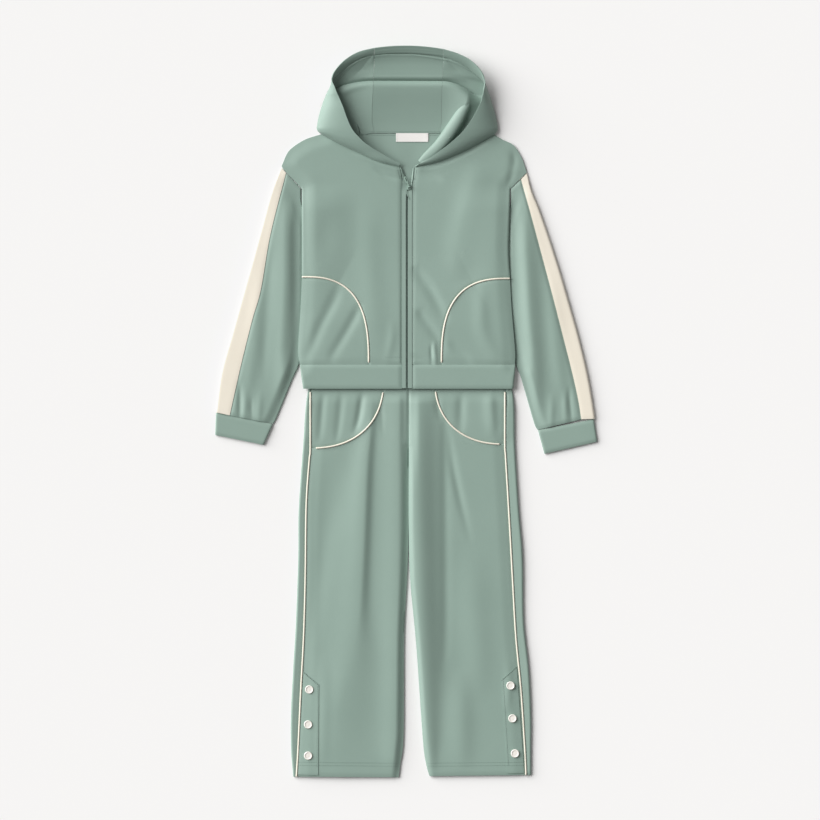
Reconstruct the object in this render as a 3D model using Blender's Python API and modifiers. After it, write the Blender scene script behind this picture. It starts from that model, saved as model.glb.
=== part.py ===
"""A child's two-piece tracksuit laid flat: a hooded zip jacket over wide-leg trousers.

Plan sizes are in millimetres: X to the wearer's left (the right of the picture), Y up the body,
Z up from the surface that the garments lie on. "left" and "right" in names are those of the picture.
Every cloth wall is a mid-surface, worked out from outlines and height functions, with Solidify.
"""

import math
from collections import namedtuple

import bmesh
import bpy
import numpy as np
from mathutils import Matrix, Vector
from mathutils.bvhtree import BVHTree

MM = 0.001
COLLECTION = "tracksuit"

# Cloth
CLOTH = 1.5
SEAM = 0.3
HALF = CLOTH / 2
FLOOR = HALF
NEAR_FLOOR = 0.15
LAYER = CLOTH + 0.7

# Heights of mid-surfaces above the surface, in mm
TROUSER_FLAT = 3.0
TROUSER_RISE = 3.0
TROUSER_LIFT = 4.9
SLEEVE_LIFT = 4.4
SLEEVE_FLAT = 2.65
SLEEVE_RISE = 3.6
FRONT_PUFF = 2.6
PIPING_RADIUS = 1.6
PIPING_TOP = 36
PIPED_ARC_STEPS = 60

# Levels along the body
WAIST_TOP = 148
WAIST_SEAM = 112
HEM_BOTTOM = 42
HEM_SEAM = 85
NECK_BACK = 500

Side = namedtuple("Side", "sign name")
LEFT = Side(-1, "left")
RIGHT = Side(1, "right")

# Outlines as (x, y) in mm, each from bottom to top
SHOULDER = {
    LEFT: [(-224, 442), (-214, 465), (-203, 477), (-180, 491), (-152, 500)],
    RIGHT: [(217, 431), (210, 453), (200, 472), (191, 482), (174, 490), (159, 499)],
}
ARMHOLE = {
    LEFT: [(-187, 401), (-201, 416), (-214, 429), (-224, 442)],
    RIGHT: [(187, 401), (202, 416), (217, 431)],
}
BODY_SIDE = {
    LEFT: [(-187, 243), (-187, 330), (-187, 401)],
    RIGHT: [(187, 240), (184, 292), (186, 362), (187, 401)],
}
POCKET_SIDE = {
    LEFT: [(-191, HEM_SEAM), (-194, 112), (-190, 180), (-187, 243)],
    RIGHT: [(196, HEM_SEAM), (196, 112), (190, 184), (187, 240)],
}
NECK = {
    LEFT: [(-152, 500), (-118, 482), (-84, 466), (-51, 451), (-12, 441)],
    RIGHT: [(159, 499), (130, 483), (101, 468), (57, 450), (16, 441)],
}
ZIP_EDGE = {
    LEFT: [(-7.7, HEM_SEAM), (-7.7, 250), (-7.7, 400), (-8.8, 425), (-12, 441)],
    RIGHT: [(11.1, HEM_SEAM), (11.1, 250), (11.4, 390), (14.2, 420), (16, 441)],
}
ZIP_INNER = {
    LEFT: [(-0.4, 43), (-0.4, 250), (-0.2, 388), (2.4, 400), (0, 415), (-5, 430), (-9, 440)],
    RIGHT: [(3.2, 43), (3.2, 250), (3.6, 388), (7.6, 400), (9.2, 415), (11, 430), (12.6, 440)],
}

Pocket = namedtuple("Pocket", "x y across up power")
JACKET_POCKET = {
    LEFT: Pocket(-187, HEM_SEAM, 120, 158, 2.8),
    RIGHT: Pocket(187, HEM_SEAM, 123, 155, 2.8),
}
TROUSER_POCKET = {
    LEFT: Pocket(-172, 60, 132, 125, 2.3),
    RIGHT: Pocket(178, 60, 126, 118, 2.3),
}

SLEEVE_OUTER = {
    LEFT: [(-343, 0), (-333, 72), (-315, 137), (-297, 202), (-279, 266), (-261, 331), (-243, 396), (-225, 440)],
    RIGHT: [(340, -12), (333, 34), (324, 80), (310, 137), (292, 201), (271, 272), (242, 358), (226, 398),
            (217.8, 430)],
}
STRIPE_EDGE = {
    LEFT: [(-317, -6), (-297, 83), (-276, 167), (-261, 220), (-244, 318), (-216, 430)],
    RIGHT: [(315, -13), (310, 20), (299, 70), (281, 141), (262, 215), (242, 290), (224.5, 355), (207, 418)],
}
SLEEVE_INNER = {
    LEFT: [(-239, -21), (-232, -8), (-205, 58), (-193, 85), (-187, 120), (-178, 175), (-168, 230),
           (-164, 285), (-170, 325), (-182, 355), (-189, 378), (-189.5, 402)],
    RIGHT: [(237, -32), (230, -18), (208, 58), (198, 85), (192, 120), (181, 175), (170, 230),
            (165, 285), (171, 325), (182, 355), (189, 378), (189.5, 401.5)],
}
CUFF_END = {
    LEFT: [(-343.5, -41), (-256, -59)],
    RIGHT: [(344, -53), (249, -75)],
}
CUFF_START = {
    LEFT: [(-342, -1.1), (-239.5, -21.9)],
    RIGHT: [(338, -13), (237.5, -32.9)],
}

STRIPE_WRAP = 22
CUFF_Z = 4.6

# The hem band's lower and upper corners, at the zip and at the side
BAND_END = {
    LEFT: [(-7.7, HEM_BOTTOM), (-7.7, HEM_SEAM)],
    RIGHT: [(11.1, HEM_BOTTOM), (11.1, HEM_SEAM)],
}
BAND_EDGE = {
    LEFT: [(-185, HEM_BOTTOM), (-191, HEM_SEAM)],
    RIGHT: [(193, HEM_BOTTOM), (197, HEM_SEAM)],
}

LEG_OUTER = {
    LEFT: [(-203, -656), (-207, -605), (-207, -540), (-203, -461), (-198, -375), (-194, -260), (-193, -173),
           (-185, -58), (-178, 29), (-158, WAIST_SEAM)],
    RIGHT: [(225, -653), (225, -605), (225, -545), (221, -461), (212, -375), (210, -260), (203, -173),
            (196, -58), (193, 29), (172, WAIST_SEAM)],
}
LEG_PIPING = {
    LEFT: [(-197, -656), (-194, -607), (-189, -500), (-184, -406), (-181, -302), (-179, -163), (-172, -65)],
    RIGHT: [(216, -653), (214, -607), (207, -500), (198, -406), (192, -302), (186, -193), (178, -58)],
}
LEG_INNER = {
    LEFT: [(-14, -657), (-11, -634), (-5, -580), (-4, -403), (1, -300), (4, -205), (4, -63)],
    RIGHT: [(43, -655), (37, -634), (31, -590), (19, -420), (8, -300), (5.5, -205), (5.5, -63)],
}
CENTRE_SEAM_X = 4.75

# Where the front leg's columns stand, as shares of its width from the piping to the inner leg
TROUSER_SHARES = {
    LEFT: [0, 0.12, 0.24, 0.38, 0.5, 0.6, 0.67, 0.74, 0.82, 0.91, 1],
    RIGHT: [0, 0.13, 0.26, 0.38, 0.5, 0.6, 0.68, 0.76, 0.84, 0.92, 1],
}
POCKET_STEPS = 10
PIPED_ROWS = 13
INNER_ROWS = 14

# Largest folds, each a row of points down its crest, or down its trough where the height is below 0.
# west and east are its widths to either side there.
FoldPoint = namedtuple("FoldPoint", "x y west east height")
TROUSER_FOLDS = {
    LEFT: [
        [FoldPoint(-62, 50, 14, 8, 0), FoldPoint(-64, -20, 18, 8, 2.5), FoldPoint(-71, -103, 24, 9, 4.5),
         FoldPoint(-77, -240, 34, 10, 5), FoldPoint(-84, -358, 40, 14, 4.5), FoldPoint(-96, -440, 40, 34, 4),
         FoldPoint(-118, -530, 30, 50, 3.5), FoldPoint(-124, -640, 30, 50, 1)],
        [FoldPoint(-28, 50, 16, 14, 0), FoldPoint(-29, 0, 16, 14, 3), FoldPoint(-32, -300, 17, 14, 3.5),
         FoldPoint(-34, -600, 16, 13, 3), FoldPoint(-36, -650, 12, 10, 0)],
        [FoldPoint(-136, -78, 24, 24, 0), FoldPoint(-137, -150, 30, 28, -1.8), FoldPoint(-148, -230, 20, 22, -1.9),
         FoldPoint(-158, -330, 14, 16, -1.2), FoldPoint(-162, -420, 12, 14, 0)],
        [FoldPoint(-150, -430, 14, 12, 0), FoldPoint(-148, -520, 14, 12, 1.3), FoldPoint(-150, -600, 12, 12, 1.0),
         FoldPoint(-151, -650, 10, 10, 0)],
    ],
    RIGHT: [
        [FoldPoint(18, 50, 8, 22, 1), FoldPoint(19, 0, 9, 30, 5), FoldPoint(21, -170, 9, 36, 7.5),
         FoldPoint(26, -300, 9, 36, 7.5), FoldPoint(31, -400, 9, 32, 6.5), FoldPoint(37, -480, 8, 24, 5),
         FoldPoint(42, -560, 8, 16, 3.5), FoldPoint(47, -620, 7, 10, 1.5), FoldPoint(49, -648, 6, 8, 0)],
        [FoldPoint(118, -240, 24, 22, 0), FoldPoint(122, -330, 28, 26, 2), FoldPoint(130, -440, 26, 24, 2),
         FoldPoint(134, -520, 20, 20, 0)],
        [FoldPoint(96, -460, 20, 18, 0), FoldPoint(98, -530, 26, 20, 2.4), FoldPoint(100, -600, 24, 20, 2.2),
         FoldPoint(100, -650, 18, 18, 0)],
    ],
}
FRONT_FOLDS = {
    LEFT: [
        [FoldPoint(-62, 400, 20, 20, 0), FoldPoint(-66, 300, 22, 20, 1.2), FoldPoint(-60, 200, 22, 20, 1.4),
         FoldPoint(-52, 110, 18, 18, 0.4)],
        [FoldPoint(-116, 232, 12, 12, 0), FoldPoint(-130, 200, 12, 12, -1.8), FoldPoint(-152, 158, 12, 12, -2),
         FoldPoint(-170, 116, 12, 12, -1.6), FoldPoint(-180, 88, 12, 12, 0)],
        [FoldPoint(-172, 430, 12, 14, 0), FoldPoint(-168, 380, 12, 16, 1.3), FoldPoint(-170, 300, 12, 16, 0.8),
         FoldPoint(-172, 240, 10, 12, 0)],
    ],
    RIGHT: [
        [FoldPoint(14, 264, 12, 12, 0), FoldPoint(24, 246, 13, 12, -2), FoldPoint(42, 222, 13, 12, -2.3),
         FoldPoint(60, 188, 13, 12, -1.8), FoldPoint(74, 158, 12, 12, 0)],
        [FoldPoint(152, 450, 16, 14, 0), FoldPoint(138, 412, 20, 18, 1.8), FoldPoint(116, 346, 20, 18, 1.9),
         FoldPoint(108, 280, 20, 18, 1.4), FoldPoint(110, 240, 16, 16, 0)],
        [FoldPoint(132, 232, 14, 12, 0), FoldPoint(135, 200, 14, 12, 1.5), FoldPoint(138, 146, 14, 12, 1.6),
         FoldPoint(158, 104, 14, 12, 0.9), FoldPoint(166, 88, 12, 10, 0)],
    ],
}
SLEEVE_FOLDS = {
    LEFT: [
        [FoldPoint(-206, 384, 10, 10, 0), FoldPoint(-213, 330, 16, 14, 4), FoldPoint(-218, 220, 16, 14, 5),
         FoldPoint(-222, 120, 16, 14, 5), FoldPoint(-228, 60, 14, 12, 4), FoldPoint(-236, 0, 10, 10, 0)],
        [FoldPoint(-236, 300, 9, 9, 0), FoldPoint(-239, 250, 10, 10, -1.8), FoldPoint(-244, 170, 10, 10, -1.9),
         FoldPoint(-248, 110, 8, 8, -1.4), FoldPoint(-250, 50, 8, 8, 0)],
        [FoldPoint(-262, 260, 12, 14, 0), FoldPoint(-270, 150, 12, 14, 1.4), FoldPoint(-280, 70, 12, 12, 1.2),
         FoldPoint(-286, 30, 8, 8, 0)],
    ],
    RIGHT: [
        [FoldPoint(200, 372, 8, 10, 0), FoldPoint(206, 311, 10, 16, 4), FoldPoint(216, 223, 10, 17, 4.6),
         FoldPoint(222, 151, 10, 17, 4.6), FoldPoint(226, 80, 10, 16, 4.4), FoldPoint(231, 30, 9, 14, 3),
         FoldPoint(236, -14, 8, 10, 0)],
        [FoldPoint(256, 260, 12, 14, 0), FoldPoint(266, 160, 12, 14, 1.6), FoldPoint(276, 70, 12, 12, 1.2),
         FoldPoint(284, 26, 8, 8, 0)],
    ],
}

# One row for each section of a hood side, from the top seam round to the shoulder. The surface runs from
# the rim over the fold at the outline, back under the rim, and over the belly to the seam; a gully is the
# low ground beside a raised belly. Rows 5 and 6 are the two sides of the crosswise lip.
HoodSection = namedtuple("HoodSection", "rim fold belly seam gully", defaults=(None,))
HOOD_SECTIONS = {
    LEFT: [
        HoodSection((-57, 653, 30), (-57, 649, 26.5), (-57, 644, 24), (-57, 640, 21.5)),
        HoodSection((-85, 646, 30), (-80, 637, 24), (-68, 632, 19), (-57, 628, 17)),
        HoodSection((-109, 632, 30), (-101, 621, 19), (-80, 617, 14), (-58, 617, 15)),
        HoodSection((-127, 613, 30), (-120, 604, 13), (-92, 606, 12), (-58, 607, 14)),
        HoodSection((-133, 598, 29), (-133, 590, 8), (-104, 597, 9), (-59, 600.5, 13)),
        HoodSection((-128, 584, 29), (-139, 579, 6.5), (-113, 586, 4), (-59, 594, 6)),
        HoodSection((-124, 573, 29), (-143, 571, 6.5), (-113, 586.5, 10), (-59, 594.6, 13)),
        HoodSection((-121, 567, 28.5), (-145, 565, 6.3), (-108, 578, 13), (-59, 588, 17)),
        HoodSection((-118, 560, 28), (-148, 558, 6), (-112, 563, 8), (-59.5, 576, 15.5)),
        HoodSection((-112, 545, 28), (-153, 543, 6), (-108, 545, 4), (-61, 546, 8.5)),
        HoodSection((-106, 528, 27), (-157, 528, 6), (-112, 526, 2.5), (-61, 521, 4)),
        HoodSection((-100, 514, 26), (-159, 516, 6), (-120, 510, 1.5), (-61, 502, 2)),
        HoodSection((-94, 504, 25), (-160, 510, 6), (-145, 506, 0.8), (-105, 501.5, 1.5)),
        HoodSection((-86, 495, 24), (-158, 505, 5.5), (-154, 503, 2.2), (-140, 501, 2)),
    ],
    RIGHT: [
        HoodSection((67, 651, 30), (67, 647, 26.5), (67, 643, 24), (67, 639, 21.5)),
        HoodSection((93, 643, 30), (89, 635, 24), (78, 630, 19), (67, 627, 17)),
        HoodSection((116, 631, 30), (108, 620, 19), (90, 616, 14), (66, 616, 15)),
        HoodSection((134, 613, 30), (127, 602, 13), (100, 605, 12), (66, 607, 14)),
        HoodSection((141, 596, 29), (142, 589, 8), (110, 596, 9), (65, 600, 13)),
        HoodSection((140, 582, 29), (147, 577, 6.5), (114, 579, 4), (65, 593.4, 6)),
        HoodSection((138, 571, 29), (151, 567, 6.5), (114, 579.5, 10), (65, 594, 13)),
        HoodSection((136.5, 565, 28.5), (152.5, 561, 6.3), (112, 570, 17), (65, 587.5, 17), (136, 564, 3)),
        HoodSection((135, 558, 28), (154, 555, 6), (111, 557, 18), (64.5, 576, 15.5), (134, 556, 2)),
        HoodSection((129, 545, 28), (158, 542, 6), (105, 544, 17.5), (64, 546, 8.5), (128, 544, 1)),
        HoodSection((121, 530, 27), (161, 529, 6), (97, 529, 16), (64, 521, 4), (121, 530, 1)),
        HoodSection((113, 518, 26), (163, 518, 6), (90, 515, 12), (64, 502, 2), (114, 518, 0.6)),
        HoodSection((105, 507, 25), (164, 510, 6), (146, 507, 0.8), (108, 501.5, 1.5)),
        HoodSection((97, 498, 24), (163, 505, 5.5), (158, 503, 2.2), (144, 501, 2)),
    ],
}
NECK_SECTIONS = 2
# Rim points of the hood's lower front, one for each remaining section, down to the centre front
HOOD_FRONT_RIM = {
    LEFT: [(-77, 486, 22), (-63, 476, 19.5), (-48, 467, 16.5), (-30, 457, 13.5), (-11, 447.5, 10)],
    RIGHT: [(88, 490, 22), (76, 480, 19.5), (62, 470, 16.5), (46, 459, 13.5), (29, 449.5, 10)],
}
HOOD_BROW = 12
HOOD_LEVELLING = 0.85
FRONT_LEAN = 0.65
HOOD_OVER = 4
HOOD_UNDER = 6
HOOD_DROP = 3
HOOD_CROWN = 5

# Hem vents with their snaps
VENT_TOP = {LEFT: [(-184, -468), (-157, -490)], RIGHT: [(199, -458), (172, -481)]}
VENT_FOOT = {LEFT: [(-194.5, -652), (-158, -653)], RIGHT: [(212.5, -649), (182, -650)]}
SNAPS = {
    LEFT: [(-174, -499), (-176, -562), (-176, -618)],
    RIGHT: [(188, -492), (191.5, -551), (196, -614)],
}
SNAP_RADIUS = 7.5
SNAP_HEIGHT = 2.4
SNAP_SIDES = 18
PLACKET_THICK = 0.8
PLACKET_ROWS = 8
PLACKET_COLUMNS = 2

# Zip
CHAIN_X = 1.4
CHAIN_WIDTH = 3.0
CHAIN_TOP = 385
CHAIN_THICK = 1.0
CHAIN_SINK = 0.2
CHAIN_ROWS = 12
ZIP_FOOT = 43
TAPE_TOP = 440
TAPE_THICK = 1.2
TAPE_SINK = 0.8
TAPE_ROWS = 14
SLIDER = (5.2, 404.5)
SLIDER_TURN = math.radians(8)
SLIDER_WIDTH = 6.6
SLIDER_LENGTH = 9.5
SLIDER_THICK = 2.2
PULL_LENGTH = 20
PULL_WIDTH = 4.6
PULL_THICK = 1.1
PULL_TURN = math.radians(21)
PIVOT_RADIUS = 0.5
PULL_HOLE = 0.85
PULL_COLLAR = 1.45
PULL_RAISE = 0.35
EAR_THICK = 0.9
EAR_LENGTH = 2.2
EAR_SINK = 0.8
EAR_OVER_BAR = 1.1

# Neck label
LABEL = (11, 498, 58, 15)
LABEL_THICK = 1.0

# Rows and columns of the walls
LEG_ROWS = 20
WAIST_ROWS = 2
SLEEVE_ROWS = 15
CUFF_ROWS = 3
BAND_ROWS = 2
BAND_MIDDLE = 3.0
BACK_NECK_STEPS = 5
BACK_NECK_IN = 12
BACK_NECK_DROP = 0.6

GREEN = (0.276, 0.392, 0.335, 1.0)
CREAM = (0.83, 0.77, 0.66, 1.0)
IVORY = (0.86, 0.84, 0.79, 1.0)
TRIM = (0.24, 0.33, 0.285, 1.0)


def smooth(start, end, value):
    """0 at start, 1 at end, eased between."""
    t = min(1.0, max(0.0, (value - start) / (end - start)))
    return t * t * (3 - 2 * t)


def spaced(points, count):
    """A smooth curve through the points, as count + 1 points at even lengths."""
    p = [np.array(q, float) for q in points]
    p = [2 * p[0] - p[1]] + p + [2 * p[-1] - p[-2]]
    fine = []
    steps = 16
    for a, b, c, d in zip(p, p[1:], p[2:], p[3:]):
        for k in range(steps):
            t = k / steps
            fine.append(0.5 * (2 * b + (c - a) * t + (2 * a - 5 * b + 4 * c - d) * t**2
                               + (3 * b - a - 3 * c + d) * t**3))
    fine.append(p[-2])
    fine = np.array(fine)
    length = np.concatenate([[0], np.cumsum(np.linalg.norm(np.diff(fine, axis=0), axis=1))])
    at = np.linspace(0, length[-1], count + 1)
    return [np.array([np.interp(s, length, fine[:, k]) for k in range(fine.shape[1])]) for s in at]


def pocket_arc(pocket, side, count, start=0.0, end=1.0):
    """The pocket's curved edge, from its inner lower end round to the side."""
    points = []
    for k in range(count + 1):
        angle = math.pi / 2 * (start + (end - start) * k / count)
        across = math.cos(angle) ** (2 / pocket.power)
        up = math.sin(angle) ** (2 / pocket.power)
        points.append(np.array([pocket.x - side.sign * pocket.across * across, pocket.y + pocket.up * up]))
    return points


def distance(point, line):
    """Least distance in plan from a point to a polyline."""
    best = 1e9
    p = np.array(point[:2], float)
    for a, b in zip(line, line[1:]):
        a = np.array(a, float)
        d = np.array(b, float) - a
        t = min(1.0, max(0.0, float(np.dot(p - a, d) / np.dot(d, d))))
        best = min(best, float(np.linalg.norm(p - a - t * d)))
    return best


def fold_height(folds, x, y):
    """The sum of the folds at a point, each at its nearest place to the point."""
    total = 0.0
    for fold in folds:
        nearest = None
        for start, end in zip(fold, fold[1:]):
            dx = end.x - start.x
            dy = end.y - start.y
            t = min(1.0, max(0.0, ((x - start.x) * dx + (y - start.y) * dy) / (dx * dx + dy * dy)))
            away_x = x - start.x - t * dx
            away_y = y - start.y - t * dy
            off = math.hypot(away_x, away_y)
            if nearest is None or off < nearest:
                nearest = off
                to_west = away_x * dy - away_y * dx > 0
                one, two = (start.west, end.west) if to_west else (start.east, end.east)
                width = one + (two - one) * t
                height = start.height + (end.height - start.height) * t
        total += height * math.exp(-((nearest / width) ** 2))
    return total


# Heights of the layers

def trouser_front_z(side):
    inner = LEG_INNER[side]
    outer = LEG_PIPING[side]

    def height(x, y):
        rise = TROUSER_RISE * smooth(0, 26, distance((x, y), inner)) if y < -40 else TROUSER_RISE
        rise *= 0.45 + 0.55 * smooth(0, 24, distance((x, y), outer))
        open_part = smooth(44, 14, y)
        near_centre = smooth(0, 14, abs(x - CENTRE_SEAM_X))
        folds = fold_height(TROUSER_FOLDS[side], x, y) * (0.25 + 0.75 * near_centre)
        folds *= 0.35 + 0.65 * smooth(0, 22, distance((x, y), inner))
        folds *= smooth(0, 16, distance((x, y), outer)) if y < -60 else 1.0
        return TROUSER_FLAT + open_part * max(0.0, rise + folds)

    return height


def jacket_back_z(x, y):
    over_trousers = TROUSER_LIFT * smooth(180, 154, y)
    over_sleeve = SLEEVE_LIFT * smooth(134, 156, abs(x - 0.5)) * smooth(406, 384, y)
    return FLOOR + max(over_trousers, over_sleeve)


def jacket_front_z(side):
    edge = POCKET_SIDE[side] + BODY_SIDE[side][1:] + ARMHOLE[side][1:] + SHOULDER[side][1:]

    def height(x, y):
        inside = distance((x, y), edge)
        folds = fold_height(FRONT_FOLDS[side], x, y) * smooth(0, 16, inside)
        return jacket_back_z(x, y) + LAYER + FRONT_PUFF * smooth(0, 26, inside) + max(folds, -2.2)

    return height


def sleeve_front_z(side):
    body = POCKET_SIDE[side] + BODY_SIDE[side][1:]
    inner = SLEEVE_INNER[side]

    def height(x, y):
        outside = side.sign * x - 189
        clear = smooth(3, 30, distance((x, y), body)) if outside > 0 else 0.0
        if y < HEM_SEAM:
            clear = 1.0
        if y > 400:
            clear = 0.25 + 0.75 * smooth(0, 24, distance((x, y), SHOULDER[side]))
        clear *= smooth(2, 20, distance((x, y), inner)) if y < 380 else 1.0
        near_seam = smooth(6, 40, distance((x, y), ARMHOLE[side]))
        folds = fold_height(SLEEVE_FOLDS[side], x, y) * clear * near_seam
        base = SLEEVE_FLAT + SLEEVE_RISE * clear * (0.45 + 0.55 * near_seam)
        return base + max(folds, -2.0)

    return height


def on_floor(x, y):
    return FLOOR


# Building walls

def coons(bottom, top, left, right):
    """Plan points between four edges: bottom and top run left to right, left and right run upwards."""
    rows = len(left) - 1
    columns = len(bottom) - 1
    grid = []
    for j in range(rows + 1):
        v = j / rows
        row = []
        for i in range(columns + 1):
            u = i / columns
            ruled = (1 - u) * left[j] + u * right[j] + (1 - v) * bottom[i] + v * top[i]
            corners = ((1 - u) * (1 - v) * left[0] + u * (1 - v) * right[0]
                       + (1 - u) * v * left[-1] + u * v * right[-1])
            row.append(ruled - corners)
        grid.append(row)
    return grid


def inset(bottom, top, left, right, by=SEAM / 2):
    """The same four edges, each moved inwards by half a seam."""
    loop = list(bottom) + list(right[1:]) + list(top[::-1][1:]) + list(left[::-1][1:-1])
    count = len(loop)
    area = sum(loop[k][0] * loop[(k + 1) % count][1] - loop[(k + 1) % count][0] * loop[k][1] for k in range(count))
    turn = 1 if area > 0 else -1
    moved = []
    for k in range(count):
        before = loop[k] - loop[k - 1]
        after = loop[(k + 1) % count] - loop[k]
        n1 = turn * np.array([-before[1], before[0]]) / np.linalg.norm(before)
        n2 = turn * np.array([-after[1], after[0]]) / np.linalg.norm(after)
        mitre = n1 + n2
        mitre = mitre / max(0.6, float(np.dot(mitre, n1)))
        moved.append(loop[k] + by * mitre)
    b = len(bottom)
    r = len(right)
    t = len(top)
    new_bottom = moved[:b]
    new_right = moved[b - 1:b + r - 1]
    new_top = moved[b + r - 2:b + r + t - 2][::-1]
    new_left = [moved[0]] + moved[b + r + t - 3:][::-1]
    return new_bottom, new_top, new_left, new_right


def raised(grid, height):
    """Plan points with the height of their layer."""
    return [[np.array([p[0], p[1], height(p[0], p[1])]) for p in row] for row in grid]


def wall(name, grid, material, thickness=CLOTH, dropped=()):
    """A cloth wall round a grid of points; dropped holds the (row, column) of faces that aren't there."""
    rows = len(grid) - 1
    columns = len(grid[0]) - 1
    mesh = bpy.data.meshes.new(name)
    shape = bmesh.new()
    bmesh.ops.create_grid(shape, x_segments=columns, y_segments=rows, size=1.0)
    missing = []
    for face in shape.faces:
        middle = face.calc_center_median()
        cell = (int((middle.y + 1) / 2 * rows), int((middle.x + 1) / 2 * columns))
        if cell in dropped:
            missing.append(face)
    for vertex in shape.verts:
        i = round((vertex.co.x + 1) / 2 * columns)
        j = round((vertex.co.y + 1) / 2 * rows)
        vertex.co = Vector([float(c) * MM for c in grid[j][i]])
    bmesh.ops.delete(shape, geom=missing, context="FACES")
    bmesh.ops.remove_doubles(shape, verts=shape.verts, dist=0.02 * MM)
    bmesh.ops.recalc_face_normals(shape, faces=shape.faces)
    shape.to_mesh(mesh)
    shape.free()
    mesh.materials.append(material)
    mesh.shade_smooth()
    thing = bpy.data.objects.new(name, mesh)
    solidify = thing.modifiers.new("cloth", "SOLIDIFY")
    solidify.thickness = thickness * MM
    solidify.offset = 0
    solidify.use_even_offset = True
    bpy.data.collections[COLLECTION].objects.link(thing)
    settle(thing)
    return thing


def settle(thing):
    """Make the wall a plain mesh, whose lowest points lie flat on the surface."""
    bpy.context.view_layer.update()
    graph = bpy.context.evaluated_depsgraph_get()
    mesh = bpy.data.meshes.new_from_object(thing.evaluated_get(graph))
    for vertex in mesh.vertices:
        if vertex.co.z < NEAR_FLOOR * MM:
            vertex.co.z = 0.0
    thing.modifiers.clear()
    thing.data = mesh


def wrapped(inner_top, edge, inner_under, top_z, under_z, columns, turns=4):
    """A section that runs out along a top layer, round an edge and back along an under layer."""
    top, under = np.array(inner_top[:2], float), np.array(inner_under[:2], float)
    edge = np.array(edge[:2], float)
    out = (edge - top) / np.linalg.norm(edge - top)
    radius = 0.5 * (top_z(*(edge - 2 * out)) - under_z(*(edge - 2 * out)))
    centre = edge - out * (radius + HALF)
    middle = 0.5 * (top_z(*centre) + under_z(*centre))
    points = []
    for k in range(columns[0]):
        p = top + (centre - top) * k / columns[0]
        points.append(np.array([p[0], p[1], top_z(*p)]))
    half_height = 0.5 * (top_z(*centre) - under_z(*centre))
    for k in range(turns + 1):
        angle = math.pi * (0.5 - k / turns)
        p = centre + out * radius * math.cos(angle)
        points.append(np.array([p[0], p[1], middle + half_height * math.sin(angle)]))
    for k in range(1, columns[1] + 1):
        p = centre + (under - centre) * k / columns[1]
        points.append(np.array([p[0], p[1], under_z(*p)]))
    return points


def seated_height(points, trees, reach):
    """How high each point of a line must be for a piece of this reach to clear the panels under it."""
    tops = []
    for k, point in enumerate(points):
        before = points[max(0, k - 1)]
        after = points[min(len(points) - 1, k + 1)]
        along = (after - before) / np.linalg.norm(after - before)
        across = np.array([-along[1], along[0]])
        best = 0.0
        for step in (-0.5, -0.25, 0, 0.25, 0.5):
            base = point + (after - before) * 0.5 * step
            for off in (-reach, -reach / 2, 0, reach / 2, reach):
                spot = base + across * off
                for tree in trees:
                    hit = tree.ray_cast(Vector((spot[0] * MM, spot[1] * MM, 1.0)), Vector((0, 0, -1)))
                    if hit[0] is not None:
                        best = max(best, hit[0].z / MM)
        tops.append(best)
    return tops


def trees_of(names):
    graph = bpy.context.evaluated_depsgraph_get()
    graph.update()
    return [BVHTree.FromObject(bpy.data.objects[name], graph) for name in names]


def piping(name, line, under, material):
    """A round cord sewn along a seam, lying on the panels beside it."""
    tops = seated_height(line, trees_of(under), PIPING_RADIUS)
    data = bpy.data.curves.new(name, "CURVE")
    data.dimensions = "3D"
    data.bevel_depth = PIPING_RADIUS * MM
    data.bevel_resolution = 1
    data.use_fill_caps = True
    spline = data.splines.new("POLY")
    spline.points.add(len(line) - 1)
    for point, (x, y), top in zip(spline.points, line, tops):
        point.co = (x * MM, y * MM, (top + SEAM + PIPING_RADIUS) * MM, 1)
    data.materials.append(material)
    thing = bpy.data.objects.new(name, data)
    bpy.data.collections[COLLECTION].objects.link(thing)
    return thing


def laid_patch(name, grid, under, material, thickness):
    """A thin piece whose points lie on the panels under it, moved out."""
    reach = thickness / 2
    placed = []
    for row in grid:
        tops = seated_height(row, trees_of(under), 3.0)
        placed.append([np.array([p[0], p[1], top + SEAM + 0.1 + reach]) for p, top in zip(row, tops)])
    return wall(name, placed, material, thickness)


def material(name, colour, roughness, metallic=0.0):
    made = bpy.data.materials.new(name)
    made.use_nodes = True
    shader = made.node_tree.nodes["Principled BSDF"]
    shader.inputs["Base Color"].default_value = colour
    shader.inputs["Roughness"].default_value = roughness
    shader.inputs["Metallic"].default_value = metallic
    made.diffuse_color = colour
    return made


# Trousers

def trouser_front(side, cloth):
    """The front leg panel inside the piping, with its corner cut away for the pocket."""
    pocket = TROUSER_POCKET[side]
    pocket_edge = pocket_arc(pocket._replace(up=-pocket.up), side, POCKET_STEPS)[::-1]
    waist_in = np.array([pocket_edge[-1][0], WAIST_SEAM])
    piped = spaced(LEG_PIPING[side][:-1] + [tuple(pocket_edge[0])], PIPED_ROWS)
    outer = piped + pocket_edge[1:] + [0.5 * (pocket_edge[-1] + waist_in), waist_in]
    inner_leg = spaced(LEG_INNER[side], INNER_ROWS)
    seam_x = inner_leg[-1][0]
    rise_rows = len(outer) - 1 - INNER_ROWS
    centre = [np.array([seam_x, inner_leg[-1][1] + (WAIST_SEAM - inner_leg[-1][1]) * k / rise_rows])
              for k in range(1, rise_rows + 1)]
    inner = inner_leg + centre
    share = TROUSER_SHARES[side]
    foot = [outer[0] + (inner[0] - outer[0]) * s for s in share]
    waist = [outer[-1] + (inner[-1] - outer[-1]) * s for s in share]
    edges = inset(foot, waist, outer, inner)
    wall(f"trouser_front_{side.name}", raised(coons(*edges), trouser_front_z(side)), cloth)
    return pocket_edge, piped


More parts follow.
